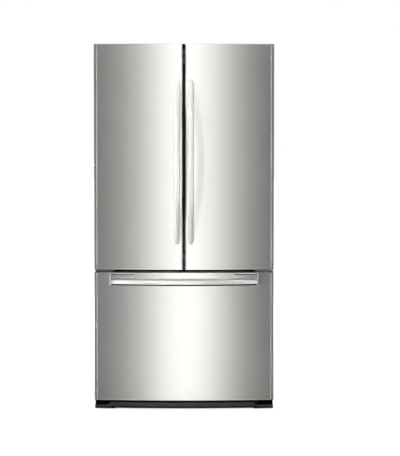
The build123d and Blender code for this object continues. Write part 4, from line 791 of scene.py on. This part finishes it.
@dataclass(frozen=True)
class Bow:
    """Plan curve that the doors and the drawer front follow."""

    crown_y: float
    half_width: float
    rise: float = 0.026
    bead_out: float = 0.0105
    bead_width: float = 0.0048
    bead_proud: float = 0.0003
    bead_depth: float = 0.0045
    bead_corner: float = 0.001
    overrun: float = 0.002
    band_step: float = 0.008
    sheet_step: float = 0.006

    @property
    def radius(self) -> float:
        """Radius of the curve."""
        return (self.half_width**2 + self.rise**2) / (2 * self.rise)

    @property
    def centre_y(self) -> float:
        """Where the curve's centre lies behind the fronts."""
        return self.crown_y + self.radius

    def y(self, x: float) -> float:
        """Face of the fronts at a distance from the middle."""
        return self.centre_y - math.sqrt(self.radius**2 - x**2)

    def angle(self, x: float) -> float:
        """Angle round the curve's centre at a distance from the middle."""
        return math.asin(x / self.radius)

    def band(self, x_from: float, x_to: float, z_from: float, z_to: float, inset: float,
             depth: float, corner: float) -> Any:
        """Models a band that follows the curve.

        Args:
            x_from: its left end.
            x_to: its right end.
            z_from: its underside.
            z_to: its top.
            inset: its face behind the curve.
            depth: its thickness.
            corner: radius of its long edges.

        Returns:
            The band, in object mode.
        """
        start, end = self.angle(x_from) - self.overrun, self.angle(x_to) + self.overrun
        middle = self.radius - inset - depth / 2
        at = (middle * math.sin(start), self.centre_y - middle * math.cos(start),
              (z_from + z_to) / 2)
        piece = section(z_to - z_from, depth, corner, at, (0.0, -math.pi / 2, start), 5)
        steps = max(8, round((x_to - x_from) / self.band_step))
        spin(-(end - start), (0.0, self.centre_y, 0.0), UP, steps)
        trim_side((x_from, 0.0, 0.0), (-1.0, 0.0, 0.0))
        trim_side((x_to, 0.0, 0.0), (1.0, 0.0, 0.0))
        tidy_mesh()
        return piece

    def bead(self, hand: int, outer: float, z_from: float, z_to: float) -> Any:
        """Models a thin upright bead near the outer edge of a front.

        Args:
            hand: -1 for the left edge, 1 for the right one.
            outer: distance of the edge from the middle.
            z_from: its lower end.
            z_to: its upper end.

        Returns:
            The bead, in object mode.
        """
        ends = sorted((hand * (outer - self.bead_out - self.bead_width),
                       hand * (outer - self.bead_out)))
        return self.band(*ends, z_from, z_to, -self.bead_proud, self.bead_depth,
                         self.bead_corner)

    def sheet(self, hand: int, x_inner: float, x_outer: float, z_from: float, z_to: float,
              back_y: float, corner: float, gauge: float) -> Any:
        """Models a sheet that follows the curve and turns back round its inner edge.

        Args:
            hand: -1 for the left door, 1 for the right one, 0 for a sheet with no turned edge.
            x_inner: its inner edge, from the middle.
            x_outer: its outer edge, from the middle.
            z_from: its underside.
            z_to: its top.
            back_y: where the turned edge ends.
            corner: outside radius of the turn.
            gauge: thickness of the sheet.

        Returns:
            The sheet, in object mode.
        """
        side = hand or 1
        start_clean()
        bpy.ops.mesh.primitive_plane_add(size=1.0)
        piece = bpy.context.object
        bpy.ops.object.mode_set(mode="EDIT")
        pick(piece, "VERT", lambda v: v.co.x > 0)
        bpy.ops.mesh.delete(type="VERT")
        bpy.ops.object.mode_set(mode="OBJECT")
        mesh = piece.data
        for vertex, z in zip(mesh.vertices, (z_from, z_to)):
            vertex.co = (side * x_outer, self.y(x_outer), z)
        bpy.ops.object.mode_set(mode="EDIT")
        bpy.ops.mesh.select_all(action="SELECT")
        near = x_inner + corner if hand else x_inner
        sweep = self.angle(x_outer) - self.angle(near)
        steps = max(24, round((x_outer - near) / self.sheet_step))
        spin(side * sweep, (0.0, self.centre_y, 0.0), UP, steps)
        if hand:
            spin(side * math.pi / 2, (side * near, self.y(near) + corner, 0.0), UP, 8)
            back = back_y - self.y(near) - corner
            bpy.ops.mesh.extrude_region_move(TRANSFORM_OT_translate={"value": (0, back, 0)})
        tidy_mesh()
        walls = piece.modifiers.new("gauge", "SOLIDIFY")
        walls.thickness = gauge
        walls.offset = -1.0
        finish_mods(piece)
        return piece


@dataclass(frozen=True)
class ArchedBar:
    """A bar bent to an arc; its two ends stand on a face.

    Its section is a rounded rectangle, or an ellipse where it is crowned.
    """

    width: float = 0.026
    depth: float = 0.014
    corner: float = 0.0066
    crowned: bool = False
    steps: int = 96
    round_steps: int = 48
    overrun: float = 0.004

    def build(self, half: float, reach: float) -> Any:
        """Models the bar upright, its middle at the origin and its ends behind it.

        Args:
            half: half the length between its ends.
            reach: how far its middle stands in front of the face.

        Returns:
            The bar, in object mode.
        """
        radius = (half**2 + reach**2) / (2 * reach)
        swing = math.asin(half / radius) + self.overrun
        middle = radius - self.depth / 2
        at = (0.0, radius - middle * math.cos(swing), -middle * math.sin(swing))
        if self.crowned:
            start_clean()
            bpy.ops.mesh.primitive_circle_add(vertices=self.round_steps, radius=0.5,
                                              fill_type="NGON", location=at,
                                              rotation=(swing, 0.0, 0.0))
            bar = bpy.context.object
            bar.scale = (self.width, self.depth, 1.0)
            bpy.ops.object.transform_apply(location=True, rotation=True, scale=True)
            bpy.ops.object.mode_set(mode="EDIT")
            bpy.ops.mesh.select_all(action="SELECT")
        else:
            bar = section(self.width, self.depth, self.corner, at, (swing, 0.0, 0.0))
        spin(2 * swing, (0.0, radius, 0.0), ALONG, self.steps)
        trim_side((0.0, reach, 0.0), BACKWARDS)
        tidy_mesh()
        return bar


@dataclass(frozen=True)
class Lips:
    """Sizes that the lips along the edges of all three fronts share."""

    height: float = 0.004
    depth: float = 0.004
    proud: float = 0.0004
    corner: float = 0.0012
    short_of_edge: float = 0.0185


LIPS = Lips()
SKIN_GAUGE = 0.0008
SKIN_SMOOTH = 20.0


@dataclass
class DoorFront:
    """Outside of one door: its skin, edge lips and bead, the black block of painted shade in the
    gap, and handle.
    """

    hand: int
    side: str
    bow: Bow
    corner: float = 0.004
    shade: float = 0.0026
    shade_overlap: float = 0.0005
    shade_drop: float = 0.0001
    shade_proud: float = 0.0002
    shade_depth: float = 0.055
    bead_drop: float = 0.001
    gap_shade_width: float = 0.0115
    gap_shade_height: float = 0.013
    gap_shade_bevel: float = 0.0012
    gap_shade_overlap: float = 0.0005
    gap_shade_front: float = 0.007
    gap_shade_back: float = 0.012
    gap_shade_drop: float = 0.0002

    @property
    def body(self) -> str:
        """Body that the door's pieces ride on."""
        return f"{self.side}_door"

    def skin(self) -> None:
        """Models the bowed steel skin."""
        low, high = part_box(f"{self.side}_door_skin")
        inner, outer = sorted((abs(low.x), abs(high.x)))
        sheet = self.bow.sheet(self.hand, inner, outer, low.z, high.z, high.y, self.corner,
                               SKIN_GAUGE)
        settle(sheet, f"{self.side}_door_steel_front", STAINLESS, self.body, SKIN_SMOOTH)
        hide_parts(f"{self.side}_door_skin")

    def lips(self) -> None:
        """Models the lips along the top and bottom edges, whose bright colour is a painted
        highlight, and a black band under the lower lip, painted shade in the gap above the
        drawer.
        """
        low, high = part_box(f"{self.side}_door_trim")
        inner, outer = sorted((abs(low.x), abs(high.x)))
        ends = sorted((self.hand * inner, self.hand * (outer - LIPS.short_of_edge)))
        lip_z = low.z + self.shade
        made = [self.bow.band(*ends, z_from, z_to, -LIPS.proud, LIPS.depth, LIPS.corner)
                for z_from, z_to in ((lip_z, lip_z + LIPS.height),
                                     (high.z - LIPS.height, high.z))]
        settle(join(made), f"{self.side}_door_edge_lips", LIP_HIGHLIGHT_METAL, self.body)
        # Black band under the lower lip: painted shade in the gap above the drawer.
        edge = self.bow.band(*ends, low.z - self.shade_drop, lip_z + self.shade_overlap,
                             -self.shade_proud, self.shade_depth, 0.0)
        settle(edge, f"{self.side}_door_bottom_painted_shade", PAINTED_SHADE, self.body)

    def bead(self) -> None:
        """Models the pale bead down the profile at the door's outer edge; its pale colour is a
        painted highlight along the edge.
        """
        low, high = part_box(f"{self.side}_door_trim")
        outer = max(abs(low.x), abs(high.x))
        bead = self.bow.bead(self.hand, outer, low.z + self.shade, high.z - self.bead_drop)
        settle(bead, f"{self.side}_door_edge_bead", BEAD_HIGHLIGHT_METAL, self.body)

    def shade_gap_top(self) -> None:
        """Models a black block at the top of the gap between the doors, painted shade in that
        gap.
        """
        low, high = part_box(f"{self.side}_door_trim")
        gap_shade_block = block((high.x - self.gap_shade_overlap, low.y + self.gap_shade_front,
                      high.z - self.gap_shade_height),
                     (high.x + self.gap_shade_width, high.y - self.gap_shade_back,
                      high.z - self.gap_shade_drop))
        bevel(gap_shade_block, self.gap_shade_bevel)
        settle(gap_shade_block, f"{self.side}_door_gap_painted_shade", PAINTED_SHADE, self.body)

    def handle(self) -> None:
        """Models the arched bar handle, whose ends stand on the skin."""
        node = f"{self.side}_door_handle"
        low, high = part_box(node)
        bar = ArchedBar(crowned=True).build((high.z - low.z) / 2, high.y - low.y)
        bar.location = ((low.x + high.x) / 2, low.y, (low.z + high.z) / 2)
        settle(bar, f"{self.side}_door_bar_handle", BAR_METAL, self.body)
        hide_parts(node)


@dataclass
class DrawerFront:
    """Outside of the freezer drawer: its skin, lips, beads, the black band of painted shade on
    its top edge, handle and end blocks.
    """

    bow: Bow
    lip_rise: float = 0.0002
    bead_drop: float = 0.001
    top_shade_inset: float = 0.0036
    top_shade_depth: float = 0.055
    top_shade_rise: float = 0.0003
    top_shade_sink: float = 0.0002
    top_shade_short: float = 0.002
    handle_reach: float = 0.054
    handle_end: float = 0.013
    handle_z: float = 0.595
    plate_gauge: float = 0.005
    plate_corner: float = 0.005
    plate_bevel: float = 0.0008
    plate_gap: float = 0.001
    under_shade_proud: float = 0.0005
    under_shade_corner: float = 0.0024
    under_shade_lift: float = 0.0003
    under_shade_height: float = 0.0076
    block_length: float = 0.103
    block_reach: float = 0.020
    groove: float = 0.0042
    groove_top: float = 0.0046
    groove_depth: float = 0.004
    groove_overlap: float = 0.0005
    block_gap: float = 0.0006
    block_corner: float = 0.0012

    def skin(self) -> None:
        """Models the bowed steel skin of the drawer."""
        low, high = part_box("drawer_skin")
        sheet = self.bow.sheet(0, low.x, high.x, low.z, high.z, high.y, 0.0, SKIN_GAUGE)
        settle(sheet, "drawer_steel_front", STAINLESS, DRAWER, SKIN_SMOOTH)
        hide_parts("drawer_skin")

    def lips(self) -> None:
        """Models the lips on the drawer's edges, whose bright colour is a painted highlight, the
        pale beads, whose colour is a painted highlight too, and a black band along its top edge,
        painted shade in the gap under the doors.
        """
        low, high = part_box("drawer_trim")
        reach = high.x - LIPS.short_of_edge
        made = [self.bow.band(-reach, reach, z_from, z_to, -LIPS.proud, LIPS.depth, LIPS.corner)
                for z_from, z_to in ((low.z, low.z + LIPS.height),
                                     (high.z - LIPS.height, high.z + self.lip_rise))]
        settle(join(made), "drawer_edge_lips", LIP_HIGHLIGHT_METAL, DRAWER)
        beads = join([self.bow.bead(side, high.x, low.z + self.bead_drop,
                                    high.z - self.bead_drop) for side in (-1, 1)])
        settle(beads, "drawer_edge_beads", BEAD_HIGHLIGHT_METAL, DRAWER)
        # Black band on the drawer's top edge: painted shade in the gap under the doors.
        top_shade = self.bow.band(-high.x + self.top_shade_short, high.x - self.top_shade_short,
                            high.z - self.top_shade_sink, high.z + self.top_shade_rise, self.top_shade_inset,
                            self.top_shade_depth, 0.0)
        settle(top_shade, "drawer_top_painted_shade", PAINTED_SHADE, DRAWER)

    def handle(self) -> None:
        """Models the arched bar, the two plates that carry it and a black strip along its
        underside, painted shade under the bar.
        """
        low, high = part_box("drawer_handle")
        half = high.x - self.plate_gauge / 2
        shape = ArchedBar()
        end_y = self.bow.y(half) - self.handle_end + shape.depth / 2
        front_y = self.bow.crown_y - self.handle_reach
        bar = shape.build(half, end_y - front_y)
        bar.rotation_euler = (0.0, math.pi / 2, 0.0)
        bar.location = (0.0, front_y, self.handle_z)
        parts = [bar]
        for side in (-1, 1):
            edges = sorted((side * (half - self.plate_gauge / 2),
                            side * (half + self.plate_gauge / 2)))
            plate = block((edges[0], end_y - shape.depth - self.plate_gap, low.z),
                          (edges[1], self.bow.y(half) - self.plate_gap, high.z))
            round_edges(plate, self.plate_corner, lambda e, m=plate.data: abs(
                m.vertices[e.vertices[0]].co.x - m.vertices[e.vertices[1]].co.x) > 0.002)
            bevel(plate, self.plate_bevel)
            parts.append(plate)
        handle = join(parts)
        # Black strip along the bar's lower edge: painted shade under the bar.
        under_shade = ArchedBar(self.under_shade_height, shape.depth + self.under_shade_proud,
                         self.under_shade_corner).build(half, end_y - front_y)
        under_shade.rotation_euler = (0.0, math.pi / 2, 0.0)
        under_shade.location = (0.0, front_y - self.under_shade_proud / 2,
                         low.z + self.under_shade_height / 2 + self.under_shade_lift)
        settle(under_shade, "drawer_handle_underside_shade", PAINTED_SHADE, "drawer_handle")
        settle(handle, "drawer_bar_handle", SHADED_CROSS_BAR_METAL, "drawer_handle")
        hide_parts("drawer_handle")

    def blocks(self) -> None:
        """Models the polished block over each end of the bar, its cap and the groove between,
        with a black strip at the back of the groove as painted shade.
        """
        low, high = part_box("drawer_handle_blocks")
        cap_z = high.z - self.groove_top
        lower = cap_z - self.groove
        levels = (("end_blocks", BLOCK_METAL, low.z, lower, 0.0, self.block_corner),
                  ("block_caps", SHADED_CROSS_BAR_METAL, cap_z, high.z, 0.0, self.block_corner),
                  # The groove's black back is painted shade.
                  ("block_groove_painted_shade", PAINTED_SHADE, lower - self.groove_overlap,
                   cap_z + self.groove_overlap, self.groove_depth, 0.0))
        for name, finish, z_from, z_to, back, corner in levels:
            made = []
            for side in (-1, 1):
                ends = sorted((side * (high.x - self.block_length), side * high.x))
                made.append(self.bow.band(*ends, z_from, z_to, back - self.block_reach,
                                          self.block_reach - self.block_gap - back, corner))
            shown = settle(join(made), f"drawer_handle_{name}", finish, DRAWER)
            if finish is BLOCK_METAL:
                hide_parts("drawer_handle_blocks")


@dataclass
class Plinth:
    """Kick plate below the drawer, with its two corner feet."""

    bow: Bow
    setback: float = 0.008
    thickness: float = 0.014
    foot_x: float = 0.340
    step: float = 0.016
    foot_top: float = 0.019
    band_low: float = 0.005
    band_top: float = 0.032
    band_corner: float = 0.0035
    foot_corner: float = 0.003
    edge_shade: float = 0.0065
    shade_proud: float = 0.0004
    shade_depth: float = 0.006
    shade_short: float = 0.002
    reach_back: float = 0.105
    wall_short: float = 0.001
    wall_corner: float = 0.001

    def build(self) -> None:
        """Models the band and the feet, a black strip along the band's lower edge as painted
        shade under it, and a black body behind them as painted shade in the recess.
        """
        low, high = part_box("kick_plate")
        run = self.foot_x + self.step
        band = self.bow.band(-run, run, self.band_low, self.band_top, self.setback,
                             self.thickness, self.band_corner)
        drop = self.band_top - self.foot_top
        trim_piece([((side * self.foot_x, 0.0, self.band_top), (side * drop, 0.0, self.step))
                    for side in (-1, 1)])
        made = [band]
        for side in (-1, 1):
            ends = sorted((side * (self.foot_x - self.step), side * high.x))
            foot = self.bow.band(*ends, low.z, self.foot_top, self.setback, self.thickness,
                                 self.foot_corner)
            trim_piece([((side * self.foot_x, 0.0, low.z),
                         (-side * (self.band_low - low.z), 0.0, -self.step))])
            made.append(foot)
        plate = settle(join(made), "kick_plate_with_feet", KICK_PLASTIC, "cabinet")
        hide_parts("kick_plate")
        # Black strip along the band's lower edge: painted shade.
        ends = (-self.foot_x + self.shade_short, self.foot_x - self.shade_short)
        shade = self.bow.band(*ends, self.band_low - self.shade_proud,
                              self.band_low + self.edge_shade,
                              self.setback - self.shade_proud, self.shade_depth, 0.0)
        settle(shade, "kick_plate_lower_painted_shade", PAINTED_SHADE, "cabinet")
        # Black body behind the plate: painted shade in the recess.
        wall = self.bow.band(low.x + self.wall_short, high.x - self.wall_short, self.band_low,
                             high.z, self.setback + self.thickness, self.reach_back,
                             self.wall_corner)
        trim_piece([((0.0, high.y, 0.0), BACKWARDS)])
        settle(wall, "kick_plate_back_painted_shade", PAINTED_SHADE, "cabinet")


@dataclass
class Roof:
    """Small pieces that dress the cabinet."""

    gap_half: float = 0.33
    gap_proud: float = 0.0006
    gap_sink: float = 0.001
    gap_play: float = 0.001
    gap_bevel: float = 0.0002
    strip_half: float = 0.085
    strip_depth: float = 0.034
    strip_height: float = 0.0215
    strip_slope: float = 0.012
    strip_bevel: float = 0.0015
    strip_overlap: float = 0.0005
    screw_in: float = 0.044
    screw_back: float = 0.01
    screw_radius: float = 0.0045
    screw_height: float = 0.0008

    def shade_divider_gap(self) -> None:
        """Models a black strip on the divider behind the gap between doors and drawer, painted
        shade in that gap.
        """
        low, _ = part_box("divider_rail")
        z_from, z_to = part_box("drawer_trim")[1].z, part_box("left_door_trim")[0].z
        strip = block((-self.gap_half, low.y - self.gap_proud, z_from + self.gap_play),
                      (self.gap_half, low.y + self.gap_sink, z_to - self.gap_play))
        bevel(strip, self.gap_bevel, 2)
        settle(strip, "divider_gap_painted_shade", PAINTED_SHADE, "cabinet")

    def shade_centre_gap(self) -> None:
        """Models a black strip on the roof behind the gap between the doors, painted shade where
        the gap would show the backdrop above the cabinet.
        """
        low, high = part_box("outer_case")
        strip = block((-self.strip_half, low.y - self.strip_overlap, high.z),
                      (self.strip_half, low.y + self.strip_depth, high.z + self.strip_height))
        round_edges(strip, self.strip_slope, lambda e, m=strip.data: all(
            m.vertices[i].co.z > high.z + 0.01 and m.vertices[i].co.y > low.y + 0.02
            for i in e.vertices))
        bevel(strip, self.strip_bevel)
        settle(strip, "roof_centre_painted_shade", BLACK_PLASTIC, "cabinet")

    def cover_screws(self) -> None:
        """Sets one screw in each hinge cover."""
        low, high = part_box("hinge_covers")
        y = (low.y + high.y) / 2 + self.screw_back
        places = [((side * (high.x - self.screw_in), y, high.z - self.screw_height / 2), UP)
                  for side in (-1, 1)]
        screws = copies(screw_head(self.screw_radius, self.screw_height), places)
        settle(screws, "hinge_cover_screws", SCREW, "cabinet")


@dataclass
class Refrigerator:
    """The whole object: its frame nodes and the pieces that dress them."""

    def dress(self) -> None:
        """Gives every CAD node its finish."""
        for node, finish in CAD_FINISHES.items():
            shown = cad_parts[node]
            shown.data.materials.clear()
            shown.data.materials.append(finish.material())
            log.info("dressed %s as %s", node, finish.name)

    def build(self) -> None:
        """Models the pieces that stand for plain nodes or add to them."""
        bow = Bow(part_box("drawer_skin")[0].y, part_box("outer_case")[1].x)
        for hand, side in ((-1, "left"), (1, "right")):
            door = DoorFront(hand, side, bow)
            door.skin()
            door.lips()
            door.bead()
            door.handle()
            if hand < 0:
                door.shade_gap_top()
        drawer = DrawerFront(bow)
        drawer.skin()
        drawer.lips()
        drawer.handle()
        drawer.blocks()
        Plinth(bow).build()
        roof = Roof()
        roof.shade_centre_gap()
        roof.cover_screws()
        roof.shade_divider_gap()


def main() -> None:
    """Builds the studio and the refrigerator's looks."""
    logging.basicConfig(level=logging.INFO, format="%(name)s: %(message)s")
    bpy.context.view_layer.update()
    Studio().build()
    refrigerator = Refrigerator()
    refrigerator.dress()
    refrigerator.build()


if __name__ == "__main__":
    main()
